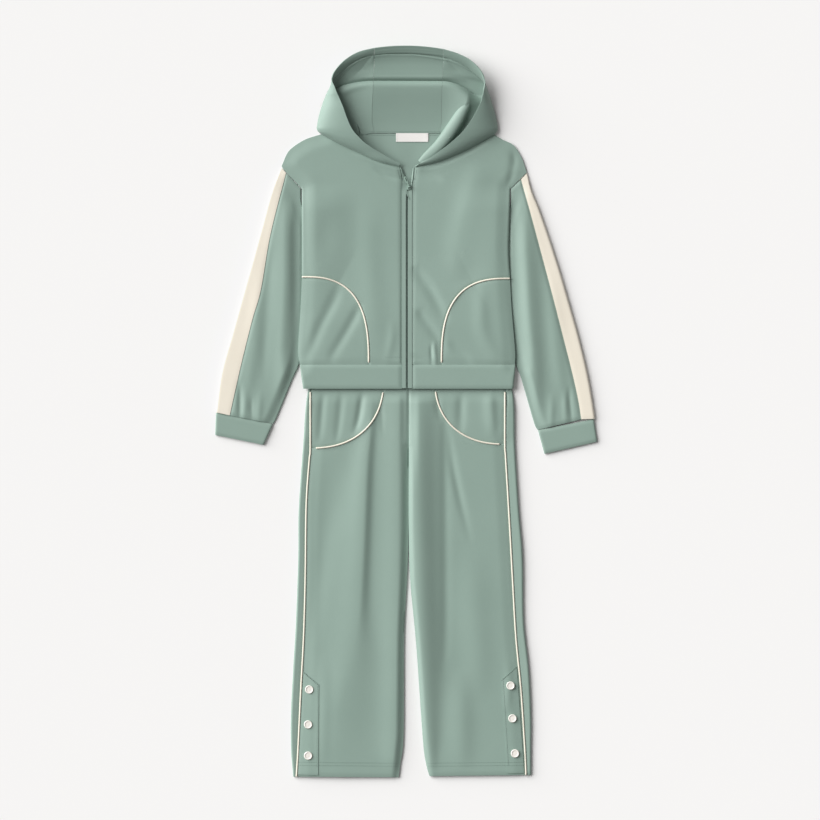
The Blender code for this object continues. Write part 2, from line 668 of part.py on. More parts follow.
def trouser_pocket(side, arc, cloth):
    """The curved pocket panel between the arc, the piping line and the waist."""
    half = len(arc) // 2
    low, high = arc[:half + 1], arc[half:]
    waist_in = np.array([arc[-1][0], WAIST_SEAM])
    waist_out = np.array(LEG_OUTER[side][-1], float) - np.array([side.sign * 6, 0])
    right = high + [0.5 * (arc[-1] + waist_in), waist_in]
    rows = len(right) - 1
    left = spaced([tuple(arc[0]), (arc[0][0], 0), (arc[0][0] + side.sign * 1, 29), tuple(waist_out)], rows)
    top = [waist_out + (waist_in - waist_out) * k / half for k in range(half + 1)]
    edges = inset(low, top, left, right)
    wall(f"trouser_pocket_{side.name}", raised(coons(*edges), trouser_front_z(side)), cloth)
    return left


def trouser_back(side, piped, pocket_side, cloth):
    """The back leg panel, which wraps round the outer edge as far as the piping."""
    outer = spaced(LEG_OUTER[side], LEG_ROWS)
    top_line = spaced([tuple(p) for p in piped + pocket_side[1:]], LEG_ROWS)
    seam_x = LEG_INNER[side][-1][0]
    inner = spaced(LEG_INNER[side] + [(seam_x, 20), (seam_x, WAIST_SEAM)], LEG_ROWS)
    grid = []
    for edge, front, seam in zip(outer, top_line, inner):
        front = front + np.array([side.sign * (SEAM / 2 + 1.1 * smooth(-40, 0, front[1])), 0])
        seam = seam + np.array([side.sign * SEAM / 2, 0])
        grid.append(wrapped(front, edge, seam, trouser_front_z(side), on_floor, (1, 2)))
    return wall(f"trouser_back_{side.name}", grid, cloth)


def waistband(cloth):
    """The elastic waistband, a flattened ring that the jacket covers."""
    grid = []
    left_edge = LEG_OUTER[LEFT][-1][0]
    right_edge = LEG_OUTER[RIGHT][-1][0]
    for k in range(WAIST_ROWS + 1):
        y = WAIST_SEAM + SEAM + (WAIST_TOP - WAIST_SEAM - SEAM) * k / WAIST_ROWS
        middle = np.array([CENTRE_SEAM_X, y])
        top_z = trouser_front_z(LEFT)
        one = wrapped(middle, (left_edge, y), middle, top_z, on_floor, (3, 3))
        other = wrapped(middle, (right_edge, y), middle, top_z, on_floor, (3, 3))
        grid.append(one + other[::-1][1:])
    return wall("waistband", grid, cloth)


# Jacket body

def jacket_front(side, cloth):
    """The front panel, with its lower outer corner cut away for the pocket."""
    arc = pocket_arc(JACKET_POCKET[side], side, POCKET_STEPS)
    outer = arc + spaced(BODY_SIDE[side], 6)[1:] + spaced(ARMHOLE[side], 2)[1:]
    inner = spaced(ZIP_EDGE[side], len(outer) - 1)
    shoulder = spaced(SHOULDER[side], 4)
    neck = spaced(NECK[side], 4)
    top = shoulder + neck[1:]
    columns = len(top) - 1
    foot = [outer[0] + (inner[0] - outer[0]) * k / columns for k in range(columns + 1)]
    edges = inset(foot, top, outer, inner)
    wall(f"jacket_front_{side.name}", raised(coons(*edges), jacket_front_z(side)), cloth)
    return arc


def jacket_pocket(side, arc, cloth):
    """The curved pocket panel in the lower outer corner."""
    half = len(arc) // 2
    right = arc[:half + 1]
    top = arc[half:][::-1]
    left = spaced([tuple(p) for p in POCKET_SIDE[side][:-1]] + [tuple(arc[-1])], half)
    foot = [left[0] + (arc[0] - left[0]) * k / half for k in range(half + 1)]
    edges = inset(foot, top, left, right)
    wall(f"jacket_pocket_{side.name}", raised(coons(*edges), jacket_front_z(side)), cloth)


def jacket_back(cloth):
    """The back panel, from the hem band to the shoulders and the back neck."""
    def edge(side):
        low = spaced(POCKET_SIDE[side], 6)
        return low + spaced(BODY_SIDE[side], 7)[1:] + spaced(ARMHOLE[side], 2)[1:]

    left, right = edge(LEFT), edge(RIGHT)
    across = np.array([1.0, 0.0])
    shoulder_left = spaced(SHOULDER[LEFT], 3)
    shoulder_right = spaced(SHOULDER[RIGHT], 3)[::-1]
    neck_left = shoulder_left[-1] + across * BACK_NECK_IN
    neck_right = shoulder_right[0] - across * BACK_NECK_IN
    neck_left[1] = NECK_BACK - BACK_NECK_DROP
    neck_right[1] = NECK_BACK - BACK_NECK_DROP
    neck = [neck_left + (neck_right - neck_left) * k / BACK_NECK_STEPS for k in range(BACK_NECK_STEPS + 1)]
    top = shoulder_left + neck + shoulder_right
    columns = len(top) - 1
    foot = [left[0] + (right[0] - left[0]) * k / columns for k in range(columns + 1)]
    edges = inset(foot, top, left, right)
    return wall("jacket_back", raised(coons(*edges), jacket_back_z), cloth)


def hem_band(cloth):
    """One strip from the zip round both sides and across the back."""
    grid = []
    for k in range(BAND_ROWS + 1):
        t = k / BAND_ROWS * (1 - SEAM / 2 / (HEM_SEAM - HEM_BOTTOM))
        halves = []
        for side in (LEFT, RIGHT):
            end, edge = (np.array(line[0]) + (np.array(line[1], float) - line[0]) * t
                         for line in (BAND_END[side], BAND_EDGE[side]))
            middle = np.array([BAND_MIDDLE, end[1]])
            halves.append(wrapped(end, edge, middle, jacket_front_z(side), jacket_back_z, (7, 4)))
        grid.append(halves[0] + halves[1][::-1][1:])
    return wall("hem_band", grid, cloth)


# Sleeves

def sleeve(side, cloth, cream):
    """The sleeve, its outer stripe and its cuff, each wrapping from the top round to the underside."""
    outer = spaced(SLEEVE_OUTER[side], SLEEVE_ROWS)
    stripe_front = spaced(STRIPE_EDGE[side], SLEEVE_ROWS)
    inner = spaced(SLEEVE_INNER[side], SLEEVE_ROWS)
    top_z = sleeve_front_z(side)
    stripe_grid, sleeve_grid = [], []
    for edge, front, within in zip(outer, stripe_front, inner):
        out = (edge - front) / np.linalg.norm(edge - front)
        gap = out * SEAM / 2
        behind = edge - out * STRIPE_WRAP
        stripe_grid.append(wrapped(front + gap, edge, behind + gap, top_z, on_floor, (2, 2)))
        sleeve_grid.append(wrapped(front - gap, within, behind - gap, top_z, on_floor, (7, 3)))
    wall(f"sleeve_stripe_{side.name}", stripe_grid, cream)
    wall(f"sleeve_{side.name}", sleeve_grid, cloth)

    start = [np.array(p, float) for p in CUFF_START[side]]
    end = [np.array(p, float) for p in CUFF_END[side]]
    grid = []
    for k in range(CUFF_ROWS + 1):
        t = k / CUFF_ROWS
        outer_edge = start[0] + (end[0] - start[0]) * t
        inner_edge = start[1] + (end[1] - start[1]) * t
        middle = 0.5 * (outer_edge + inner_edge)
        one = wrapped(middle, outer_edge, middle, cuff_z, on_floor, (3, 2))
        other = wrapped(middle, inner_edge, middle, cuff_z, on_floor, (3, 2))
        grid.append(one + other[::-1][1:])
    wall(f"cuff_{side.name}", grid, cloth)


def cuff_z(x, y):
    return CUFF_Z


# Hood

def bend(start, control, end, count):
    """count + 1 points of a quadratic curve."""
    a, b, c = (np.array(p, float) for p in (start, control, end))
    return [(1 - t) ** 2 * a + 2 * t * (1 - t) * b + t * t * c for t in (k / count for k in range(count + 1))]


def hood_side(side, cloth):
    """A hood side panel: rim, over the outside, round the fold and under to the centre seam or neck."""
    front_z = jacket_front_z(side)
    grid, dropped = [], set()
    for section in HOOD_SECTIONS[side]:
        rim, fold, belly, seam = (np.array(p, float) for p in section[:4])
        outside = max(0.0, side.sign * (fold[0] - rim[0]))
        share = min(1.0, outside / HOOD_BROW)
        shoulder = np.array([fold[0], fold[1], rim[2]]) * share + 0.5 * (rim + fold) * (1 - share)
        brow = HOOD_LEVELLING * shoulder + (1 - HOOD_LEVELLING) * 0.5 * (rim + fold)
        over = bend(rim, brow, fold, HOOD_OVER)
        turn = np.array([fold[0], fold[1], belly[2]]) * share + 0.5 * (fold + belly) * (1 - share)
        if section.gully is not None:
            turn = np.array(section.gully)
        drop = bend(fold, turn, belly, HOOD_DROP)
        level = np.array([0.5 * (belly[0] + seam[0]), seam[1], 0.5 * (belly[2] + seam[2])])
        along = bend(belly, level, seam, HOOD_UNDER - HOOD_DROP)
        grid.append(over + drop[1:] + along[1:])
    first_front = len(grid)
    rims = HOOD_FRONT_RIM[side]
    neck = spaced(NECK[side], len(rims) - 1)
    for k, (rim, foot) in enumerate(zip(rims, neck)):
        foot = np.array([foot[0], foot[1] + 2 * SEAM, front_z(foot[0], foot[1]) + 0.2])
        if k == 0:
            foot = foot + np.array([0, 0.9, 0])
        rim = np.array(rim, float)
        lean = rim + (foot - rim) * FRONT_LEAN
        lifted = np.array([lean[0], lean[1], rim[2]])
        over = bend(rim, lifted, foot, HOOD_OVER)
        grid.append(over + [foot] * HOOD_UNDER)
        for column in range(HOOD_OVER, HOOD_OVER + HOOD_UNDER):
            dropped.add((first_front + k, column))
    wall(f"hood_side_{side.name}", grid, cloth, dropped=dropped)
    seamed = len(HOOD_SECTIONS[side]) - NECK_SECTIONS
    return grid[0][:-1] + [row[-1] for row in grid[:seamed]]


def hood_centre(left_seam, right_seam, cloth):
    """The hood's middle panel, from the rim over the crosswise fold to the back neck."""
    columns = 4
    gap = np.array([SEAM, 0, 0])
    grid = []
    for k, (a, b) in enumerate(zip(left_seam, right_seam)):
        row = []
        for i in range(columns + 1):
            u = i / columns
            point = (1 - u) * (a + gap) + u * (b - gap)
            crown = 4 * u * (1 - u) * HOOD_CROWN * smooth(600, 650, point[1])
            row.append(point + np.array([0, crown, 0]))
        grid.append(row)
    return wall("hood_centre", grid, cloth)


# Zip and trims

def tape_gap(y):
    """How far the tape stays inside the front's edge, wider where the neck opens."""
    return SEAM + 1.5 * smooth(395, 415, y)


def zip_tapes(trim):
    for side in (LEFT, RIGHT):
        outer_line = [(ZIP_EDGE[side][0][0], ZIP_FOOT)] + ZIP_EDGE[side][1:]
        outer = spaced([(x - side.sign * tape_gap(y), min(y, TAPE_TOP)) for x, y in outer_line], TAPE_ROWS)
        inner = spaced(ZIP_INNER[side], TAPE_ROWS)
        height = jacket_front_z(side)
        grid = []
        for a, b in zip(outer, inner):
            middle = 0.5 * (a + b)
            sink = TAPE_SINK * smooth(392, 410, a[1])
            grid.append([np.array([p[0], p[1], height(*p) - sink * k]) for k, p in enumerate((a, middle, b))])
        wall(f"zip_tape_{side.name}", grid, trim, thickness=TAPE_THICK)


def zip_chain(trim):
    """The closed teeth as one narrow strip, a little lower than the tapes."""
    grid = []
    for k in range(CHAIN_ROWS + 1):
        y = ZIP_FOOT + (CHAIN_TOP - ZIP_FOOT) * k / CHAIN_ROWS
        z = jacket_front_z(LEFT)(CHAIN_X, y) - CHAIN_SINK
        grid.append([np.array([CHAIN_X + half, y, z]) for half in (-CHAIN_WIDTH / 2, CHAIN_WIDTH / 2)])
    wall("zip_chain", grid, trim, thickness=CHAIN_THICK)


def box(name, size, place, turn, trim):
    """A block with rounded edges."""
    mesh = bpy.data.meshes.new(name)
    shape = bmesh.new()
    bmesh.ops.create_cube(shape, size=1.0)
    bmesh.ops.scale(shape, vec=Vector([s * MM for s in size]), verts=shape.verts)
    shape.to_mesh(mesh)
    shape.free()
    mesh.materials.append(trim)
    thing = bpy.data.objects.new(name, mesh)
    thing.location = Vector([c * MM for c in place])
    thing.rotation_euler[2] = turn
    bpy.data.collections[COLLECTION].objects.link(thing)
    return thing


def round_edges(thing, width, segments=1):
    bevel = thing.modifiers.new("round", "BEVEL")
    bevel.width = width * MM
    bevel.segments = segments
    bevel.limit_method = "ANGLE"


def cylinder(name, radius, length, place, sides, trim, turn=None):
    """A closed cylinder along Z or, with a turn, along X turned about Z by that angle."""
    mesh = bpy.data.meshes.new(name)
    shape = bmesh.new()
    bmesh.ops.create_cone(shape, cap_ends=True, segments=sides, radius1=radius * MM, radius2=radius * MM,
                          depth=length * MM)
    if turn is not None:
        lay = Matrix.Rotation(turn, 3, "Z") @ Matrix.Rotation(math.pi / 2, 3, "Y")
        bmesh.ops.rotate(shape, cent=(0, 0, 0), matrix=lay, verts=shape.verts)
    shape.to_mesh(mesh)
    shape.free()
    mesh.materials.append(trim)
    thing = bpy.data.objects.new(name, mesh)
    thing.location = Vector([c * MM for c in place])
    bpy.data.collections[COLLECTION].objects.link(thing)
    return thing


def join(base, other, operation):
    """Apply a Boolean of other to base and remove other."""
    boolean = base.modifiers.new("join", "BOOLEAN")
    boolean.operation = operation
    boolean.object = other
    boolean.solver = "EXACT"
    bpy.context.view_layer.update()
    graph = bpy.context.evaluated_depsgraph_get()
    made = bpy.data.meshes.new_from_object(base.evaluated_get(graph))
    base.modifiers.clear()
    base.data = made
    bpy.data.objects.remove(other)


def slider_and_pull(trim):
    """The slider with two ears and a bar, and the pull tab that hangs on the bar."""
    tapes = trees_of(["zip_tape_left", "zip_tape_right", "zip_chain"])
    x, y = SLIDER
    line = [np.array([x, y - SLIDER_LENGTH / 2]), np.array([x, y]), np.array([x, y + SLIDER_LENGTH / 2])]
    seat = max(seated_height(line, tapes, SLIDER_WIDTH / 2)) + SEAM
    middle = seat + SLIDER_THICK / 2
    slider = box("slider", (SLIDER_WIDTH, SLIDER_LENGTH, SLIDER_THICK), (x, y, middle), SLIDER_TURN, trim)
    round_edges(slider, 0.5)
    bar_z = seat + SLIDER_THICK + PULL_COLLAR + SEAM
    ear_gap = PULL_WIDTH * 0.55 + 2 * SEAM
    across = Vector((math.cos(PULL_TURN), math.sin(PULL_TURN), 0))
    for sign in (-1, 1):
        off = across * sign * (ear_gap + EAR_THICK) / 2
        low = seat + SLIDER_THICK - EAR_SINK
        high = bar_z + EAR_OVER_BAR
        place = (x + off.x, y + off.y, (low + high) / 2)
        ear = box("ear", (EAR_THICK, EAR_LENGTH, high - low), place, PULL_TURN, trim)
        join(slider, ear, "UNION")
    bar_length = ear_gap + EAR_THICK + 0.5 * EAR_THICK
    bar = cylinder("bar", PIVOT_RADIUS, bar_length, (x, y, bar_z), 8, trim, PULL_TURN)
    join(slider, bar, "UNION")

    collar_width = ear_gap - 2 * SEAM
    pull = cylinder("pull_tab", PULL_COLLAR, collar_width, (0, 0, 0), 12, trim, 0.0)
    tongue = box("tongue", (PULL_WIDTH * 0.5, PULL_LENGTH, PULL_THICK),
                 (0, PULL_LENGTH / 2, PULL_RAISE), 0, trim)
    join(pull, tongue, "UNION")
    end = box("end", (PULL_WIDTH, PULL_LENGTH * 0.62, PULL_THICK * 0.98),
              (0, PULL_LENGTH * 0.69, PULL_RAISE), 0, trim)
    round_edges(end, 0.9)
    join(pull, end, "UNION")
    slot = box("slot", (PULL_WIDTH * 0.42, PULL_LENGTH * 0.36, 4), (0, PULL_LENGTH * 0.72, 0), 0, trim)
    join(pull, slot, "DIFFERENCE")
    hole = cylinder("hole", PULL_HOLE, collar_width * 2, (0, 0, 0), 12, trim, 0.0)
    join(pull, hole, "DIFFERENCE")
    pull.location = Vector((x * MM, y * MM, bar_z * MM))
    pull.rotation_euler = (0, 0, PULL_TURN)


def snaps(side, ivory):
    trees = trees_of([f"vent_placket_{side.name}"])
    for k, (x, y) in enumerate(SNAPS[side]):
        line = [np.array([x, y - 6.0]), np.array([x, y]), np.array([x, y + 6.0])]
        top = max(seated_height(line, trees, SNAP_RADIUS))
        snap = cylinder(f"snap_{side.name}_{k + 1}", SNAP_RADIUS, SNAP_HEIGHT,
                        (x, y, top + SEAM + SNAP_HEIGHT / 2), SNAP_SIDES, ivory)
        round_edges(snap, 0.8)


def vents(side, cloth):
    """The stitched-down placket that carries the snaps at each hem vent."""
    foot = [np.array(p, float) for p in VENT_FOOT[side]]
    top = [np.array(p, float) for p in VENT_TOP[side]]
    grid = []
    for j in range(PLACKET_ROWS + 1):
        v = j / PLACKET_ROWS
        a = foot[0] + (top[0] - foot[0]) * v
        b = foot[1] + (top[1] - foot[1]) * v
        grid.append([a + (b - a) * i / PLACKET_COLUMNS for i in range(PLACKET_COLUMNS + 1)])
    laid_patch(f"vent_placket_{side.name}", grid, [f"trouser_front_{side.name}"], cloth, PLACKET_THICK)


def neck_label(ivory):
    x, y, width, tall = LABEL
    grid = [[np.array([x + width * (i / 4 - 0.5), y + tall * (j / 2 - 0.5)]) for i in range(5)]
            for j in range(3)]
    laid_patch("neck_label", grid, ["hood_centre", "jacket_back"], ivory, LABEL_THICK)


def main():
    for old in list(bpy.data.objects):
        bpy.data.objects.remove(old)
    if COLLECTION not in bpy.data.collections:
        made = bpy.data.collections.new(COLLECTION)
        bpy.context.scene.collection.children.link(made)

    jacket_cloth = material("jacket_cloth", GREEN, 0.62)
    trouser_cloth = material("trouser_cloth", GREEN, 0.62)
    cream = material("cream_cloth", CREAM, 0.7)
    ivory = material("ivory_trim", IVORY, 0.45)
    trim = material("zip_trim", TRIM, 0.4)

    waistband(trouser_cloth)
    for side in (LEFT, RIGHT):
        arc, piped = trouser_front(side, trouser_cloth)
        pocket_side = trouser_pocket(side, arc, trouser_cloth)
        trouser_back(side, piped, pocket_side, trouser_cloth)
        panels = [f"trouser_front_{side.name}", f"trouser_pocket_{side.name}"]
        clear = [p for p in spaced(arc, PIPED_ARC_STEPS)[1:] if p[1] < PIPING_TOP]
        piping(f"trouser_pocket_piping_{side.name}", spaced(clear, 20), panels, cream)
        line = spaced([tuple(p) for p in piped] + [(pocket_side[0][0], PIPING_TOP)], 26)
        piping(f"side_piping_{side.name}", line, panels + [f"trouser_back_{side.name}"], cream)
        vents(side, trouser_cloth)
        snaps(side, ivory)

    jacket_back(jacket_cloth)
    for side in (LEFT, RIGHT):
        arc = jacket_front(side, jacket_cloth)
        jacket_pocket(side, arc, jacket_cloth)
        panels = [f"jacket_front_{side.name}", f"jacket_pocket_{side.name}"]
        piping(f"jacket_pocket_piping_{side.name}", spaced([tuple(p) for p in arc], 20), panels, cream)
        sleeve(side, jacket_cloth, cream)
    hem_band(jacket_cloth)
    left_seam = hood_side(LEFT, jacket_cloth)
    right_seam = hood_side(RIGHT, jacket_cloth)
    hood_centre(left_seam, right_seam, jacket_cloth)
    zip_tapes(trim)
    zip_chain(trim)
    slider_and_pull(trim)
    neck_label(ivory)


main()
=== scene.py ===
"""A child's tracksuit laid flat: a hooded zip jacket over wide-leg trousers, seen from straight above.

Plan sizes are in millimetres: X to the right of the picture, Y up it, Z up from the surface.
"left" and "right" are those of the picture. Meshes are made in metres, in the frame of the solids.
"""

import math
from collections import namedtuple

import bmesh
import bpy
import numpy as np
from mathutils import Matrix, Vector
from mathutils.bvhtree import BVHTree


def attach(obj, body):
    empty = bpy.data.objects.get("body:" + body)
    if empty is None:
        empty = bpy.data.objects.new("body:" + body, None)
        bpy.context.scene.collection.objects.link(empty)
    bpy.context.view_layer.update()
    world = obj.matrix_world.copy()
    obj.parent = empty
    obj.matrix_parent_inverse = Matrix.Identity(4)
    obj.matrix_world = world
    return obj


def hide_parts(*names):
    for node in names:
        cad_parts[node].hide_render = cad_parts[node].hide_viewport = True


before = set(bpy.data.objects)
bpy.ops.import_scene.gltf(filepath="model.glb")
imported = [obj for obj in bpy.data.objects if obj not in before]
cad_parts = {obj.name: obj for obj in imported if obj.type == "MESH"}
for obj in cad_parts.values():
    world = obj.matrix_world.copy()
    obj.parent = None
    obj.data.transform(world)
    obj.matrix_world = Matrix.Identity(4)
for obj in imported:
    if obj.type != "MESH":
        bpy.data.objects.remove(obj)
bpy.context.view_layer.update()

# Camera, light and surface
# The clothes lie on matt white card. One broad soft lamp stands low at the upper left, pale walls fill
# the shadows in, and the camera looks straight down through a long lens.
MM = 0.001
PHOTO_PIXELS = 820
PIXEL = 1.8
VIEW_CENTRE = (7.2, 3.6)
LENS = 200
SENSOR = 36
CLIP_END = 100
CARD_SIZE = 9.0
CARD_WHITE = (0.86, 0.852, 0.845, 1)
CARD_GRAIN = 900.0
LAMP_FROM = (-0.80, 0.46, 0.47)
LAMP_STRENGTH = 5.7
LAMP_SPREAD = 56
ROOM_STRENGTH = 0.26
ROOM_WHITE = (1.0, 0.995, 0.985, 1)
FILM_WHITE = 1.6
FILM_SHOULDER = [(0.925, 0.925), (1.05, 0.955), (1.25, 0.98)]

scene = bpy.context.scene


def linked(name, data):
    """A new object in the scene."""
    thing = bpy.data.objects.new(name, data)
    scene.collection.objects.link(thing)
    return thing


scene.view_settings.view_transform = "Standard"
scene.view_settings.use_curve_mapping = True
film = scene.view_settings.curve_mapping
film.white_level = (FILM_WHITE, FILM_WHITE, FILM_WHITE)
response = film.curves[3]
response.points[1].location = (1.0, 1.0)
for point in FILM_SHOULDER:
    response.points.new(point[0] / FILM_WHITE, point[1])
for point in response.points:
    point.handle_type = "VECTOR"
film.update()

lens = bpy.data.cameras.new("camera")
lens.lens = LENS
lens.sensor_width = SENSOR
lens.clip_end = CLIP_END
camera = linked("camera", lens)
distance_up = PHOTO_PIXELS * PIXEL * MM * LENS / SENSOR
camera.location = (VIEW_CENTRE[0] * MM, VIEW_CENTRE[1] * MM, distance_up)
scene.camera = camera

lamp_data = bpy.data.lights.new("lamp", "SUN")
lamp_data.energy = LAMP_STRENGTH
lamp_data.angle = math.radians(LAMP_SPREAD)
lamp = linked("lamp", lamp_data)
lamp.rotation_euler = Vector(LAMP_FROM).to_track_quat("Z", "Y").to_euler()

room = bpy.data.worlds.new("room")
room.use_nodes = True
room.node_tree.nodes["Background"].inputs["Color"].default_value = ROOM_WHITE
room.node_tree.nodes["Background"].inputs["Strength"].default_value = ROOM_STRENGTH
scene.world = room


class Value:
    """A number, vector or colour that a material works out at each point of a surface."""

    def __init__(self, tree, socket=None):
        self.tree = tree
        self.socket = socket

    def make(self, kind, settings, values, output=0):
        """Add a node: its settings first, then numbers or links for its sockets."""
        node = self.tree.nodes.new(kind)
        for key, setting in settings.items():
            setattr(node, key, setting)
        for key, value in values.items():
            if isinstance(value, Value):
                self.tree.links.new(value.socket, node.inputs[key])
            else:
                node.inputs[key].default_value = value
        return Value(self.tree, node.outputs[output])

    def maths(self, operation, first, second=0.0):
        return self.make("ShaderNodeMath", {"operation": operation}, {0: first, 1: second})

    def __add__(self, other):
        return self.maths("ADD", self, other)

    def __radd__(self, other):
        return self.maths("ADD", other, self)

    def __mul__(self, other):
        return self.maths("MULTIPLY", self, other)

    def sine(self):
        return self.maths("SINE", self)

    def noise(self, vector, scale, detail=2.0):
        return self.make("ShaderNodeTexNoise", {}, {"Vector": vector, "Scale": scale, "Detail": detail})

    def mix(self, share, first, second):
        return self.make("ShaderNodeMix", {"data_type": "RGBA"}, {0: share, 6: first, 7: second}, output=2)

    def bump(self, height, distance, strength):
        return self.make("ShaderNodeBump", {}, {"Height": height, "Distance": distance, "Strength": strength})

    def place(self):
        """Where the point lies on the object, in metres."""
        return self.make("ShaderNodeTexCoord", {}, {}, output=3)

    def parts(self):
        """The first two parts of a vector."""
        first = self.make("ShaderNodeSeparateXYZ", {}, {0: self})
        return first, Value(self.tree, first.socket.node.outputs[1])


def shaded(colour, by):
    return tuple(min(1, by * c) for c in colour[:3]) + (1,)


def new_finish(name):
    """A material, its Principled shader, and a Value to start its maths from."""
    finish = bpy.data.materials.new(name)
    finish.use_nodes = True
    shader = finish.node_tree.nodes["Principled BSDF"]
    return finish, shader, Value(finish.node_tree)


def feed(finish, shader, **links):
    for key, value in links.items():
        finish.node_tree.links.new(value.socket, shader.inputs[key.replace("_", " ")])


card, card_shader, maths = new_finish("card")
grain = maths.noise(maths.place(), CARD_GRAIN)
feed(card, card_shader, Base_Color=maths.mix(grain, CARD_WHITE, shaded(CARD_WHITE, 0.985)),
     Normal=maths.bump(grain, 0.0001, 0.2))
card_shader.inputs["Roughness"].default_value = 0.95
card_shader.inputs["Specular IOR Level"].default_value = 0.1
surface_mesh = bpy.data.meshes.new("surface")
half_card = CARD_SIZE / 2
corners = [(x * half_card, y * half_card, 0) for x, y in ((-1, -1), (1, -1), (1, 1), (-1, 1))]
surface_mesh.from_pydata(corners, [], [(0, 1, 2, 3)])
surface_mesh.materials.append(card)
surface = linked("surface", surface_mesh)

# Trouser back panels
# Each back leg is cut in one from smooth double knit, and wraps round the outer edge of the laid leg
# as far as the piped side seam. Its underside lies flat on the surface.
CLOTH = 1.5
SEAM = 0.3
HALF = CLOTH / 2
FLOOR = HALF
NEAR_FLOOR = 0.15
WELD = 0.02
WALL_ANGLE = math.radians(70)
SEAM_DIP = 1.2
SEAM_ROLL = 2.7
GREEN = (0.232, 0.325, 0.277, 1)
GREEN_LIGHT = (0.258, 0.354, 0.304, 1)
KNIT_WALE = 1.1
KNIT_COURSE = 0.9
KNIT_DEPTH = 0.12
DYE_PATCH = 14.0
HEATHER = 1400.0
TROUSER_FLAT = 3.0
TROUSER_RISE = 3.0
LEG_TOP = -150
OUTER_ROLL = 24
OUTER_EASE = 16
SEAM_EASE = 20
WAIST_SEAM = 112
CENTRE_SEAM_X = 4.75
BACK_ROWS = 150
FOLD_REACH = 2.6

Side = namedtuple("Side", "sign name")
LEFT = Side(-1, "left")
RIGHT = Side(1, "right")
SIDES = (LEFT, RIGHT)
INNER_ROLL = {LEFT: 12, RIGHT: 7}
INNER_DROP = {LEFT: 1.0, RIGHT: 0.35}
Pocket = namedtuple("Pocket", "x y across up power")

LEG_OUTER = {
    LEFT: [(-203, -656), (-207, -605), (-207, -540), (-203, -461), (-198, -375), (-194, -260), (-193, -173),
           (-185, -58), (-178, 29), (-158, WAIST_SEAM)],
    RIGHT: [(225, -653), (225, -605), (225, -545), (221, -461), (212, -375), (210, -260), (203, -173),
            (196, -58), (193, 29), (172, WAIST_SEAM)],
}
LEG_PIPING = {
    LEFT: [(-197, -656), (-194, -607), (-189, -500), (-184, -406), (-181, -302), (-179, -163), (-172, -65)],
    RIGHT: [(216, -653), (214, -607), (207, -500), (198, -406), (192, -302), (186, -193), (178, -58)],
}
LEG_INNER = {
    LEFT: [(-14, -657), (-11, -634), (-5, -580), (-4, -403), (1, -300), (4, -205), (4, -63)],
    RIGHT: [(43, -655), (37, -634), (31, -590), (19, -420), (8, -300), (5.5, -205), (5.5, -63)],
}
TROUSER_POCKET = {
    LEFT: Pocket(-172, 60, 132, 125, 2.3),
    RIGHT: Pocket(178, 60, 126, 118, 2.3),
}
# A fold's points run down its crest or trough: x, y, its widths to the west and the east, and its height
TROUSER_FOLDS = {
    LEFT: [
        [(-62, 50, 14, 8, 0), (-64, -20, 18, 8, 2.5), (-71, -103, 24, 9, 4.5), (-77, -240, 34, 10, 5),
         (-84, -358, 40, 14, 4.5), (-96, -440, 40, 34, 4), (-118, -530, 30, 50, 3.5),
         (-124, -640, 30, 50, 1)],
        [(-12, 50, 24, 9, 0), (-12, 0, 26, 9, 2.8), (-14, -300, 28, 9, 3.2), (-19, -600, 24, 9, 2.8),
         (-24, -650, 12, 9, 0)],
        [(-147, 60, 6, 6, 0), (-150, 20, 6, 6, -1.8), (-154, -30, 6, 6, -1.4), (-157, -56, 5, 5, 0)],
        [(-115, 60, 7, 7, 0), (-117, 20, 7, 7, -1.6), (-122, -30, 7, 6, -1.4), (-127, -58, 5, 5, 0)],
        [(-78, 60, 6, 6, 0), (-80, 24, 6, 6, -2.6), (-86, -14, 6, 6, -2.4), (-95, -42, 5, 5, 0)],
        [(-136, -78, 24, 24, 0), (-137, -150, 30, 28, -1.8), (-148, -230, 20, 22, -1.9),
         (-158, -330, 14, 16, -1.2),
         (-162, -420, 12, 14, 0)],
        [(-46, 40, 5, 5, 0), (-44, 0, 5, 5, -0.8), (-41, -46, 4, 4, 0)],
        [(-150, -430, 14, 12, 0), (-148, -520, 14, 12, 1.3), (-150, -600, 12, 12, 1.0),
         (-151, -650, 10, 10, 0)],
    ],
    RIGHT: [
        [(19, 50, 24, 22, 1), (20, 0, 30, 27, 6), (19, -130, 30, 30, 10.4), (24, -300, 30, 30, 11),
         (29, -400, 24, 28, 10),
         (34, -480, 18, 24, 7.6), (39, -560, 14, 18, 5), (45, -620, 8, 10, 2), (48, -648, 6, 8, 0)],
        [(70, 30, 8, 8, 0), (70, -60, 8, 9, -1.3), (71, -240, 8, 9, -1.3), (71, -400, 8, 9, -1.0),
         (66, -480, 8, 8, 0)],
        [(76, -24, 6, 6, 0), (84, -92, 7, 7, -1.8), (93, -137, 7, 7, -1.9), (101, -172, 7, 7, -1.5),
         (118, -240, 6, 6, 0)],
        [(100, 60, 8, 8, 0), (99, 20, 8, 8, -1.9), (98, -20, 8, 8, -1.4), (97, -42, 6, 6, 0)],
        [(151, 60, 12, 8, 0), (152, 24, 12, 8, 2.3), (155, -20, 12, 8, 2.0), (157, -48, 9, 7, 0)],
        [(54, 50, 7, 7, 0), (57, 12, 7, 6, -1.6), (62, -20, 5, 5, 0)],
        [(118, -240, 24, 22, 0), (122, -330, 28, 26, 2), (130, -440, 26, 24, 2), (134, -520, 20, 20, 0)],
        [(96, -460, 20, 18, 0), (98, -530, 26, 20, 2.4), (100, -600, 24, 20, 2.2), (100, -650, 18, 18, 0)],
        [(186, -440, 8, 8, 0), (184, -505, 7, 6, 1.0), (184, -540, 6, 6, 0)],
    ],
}


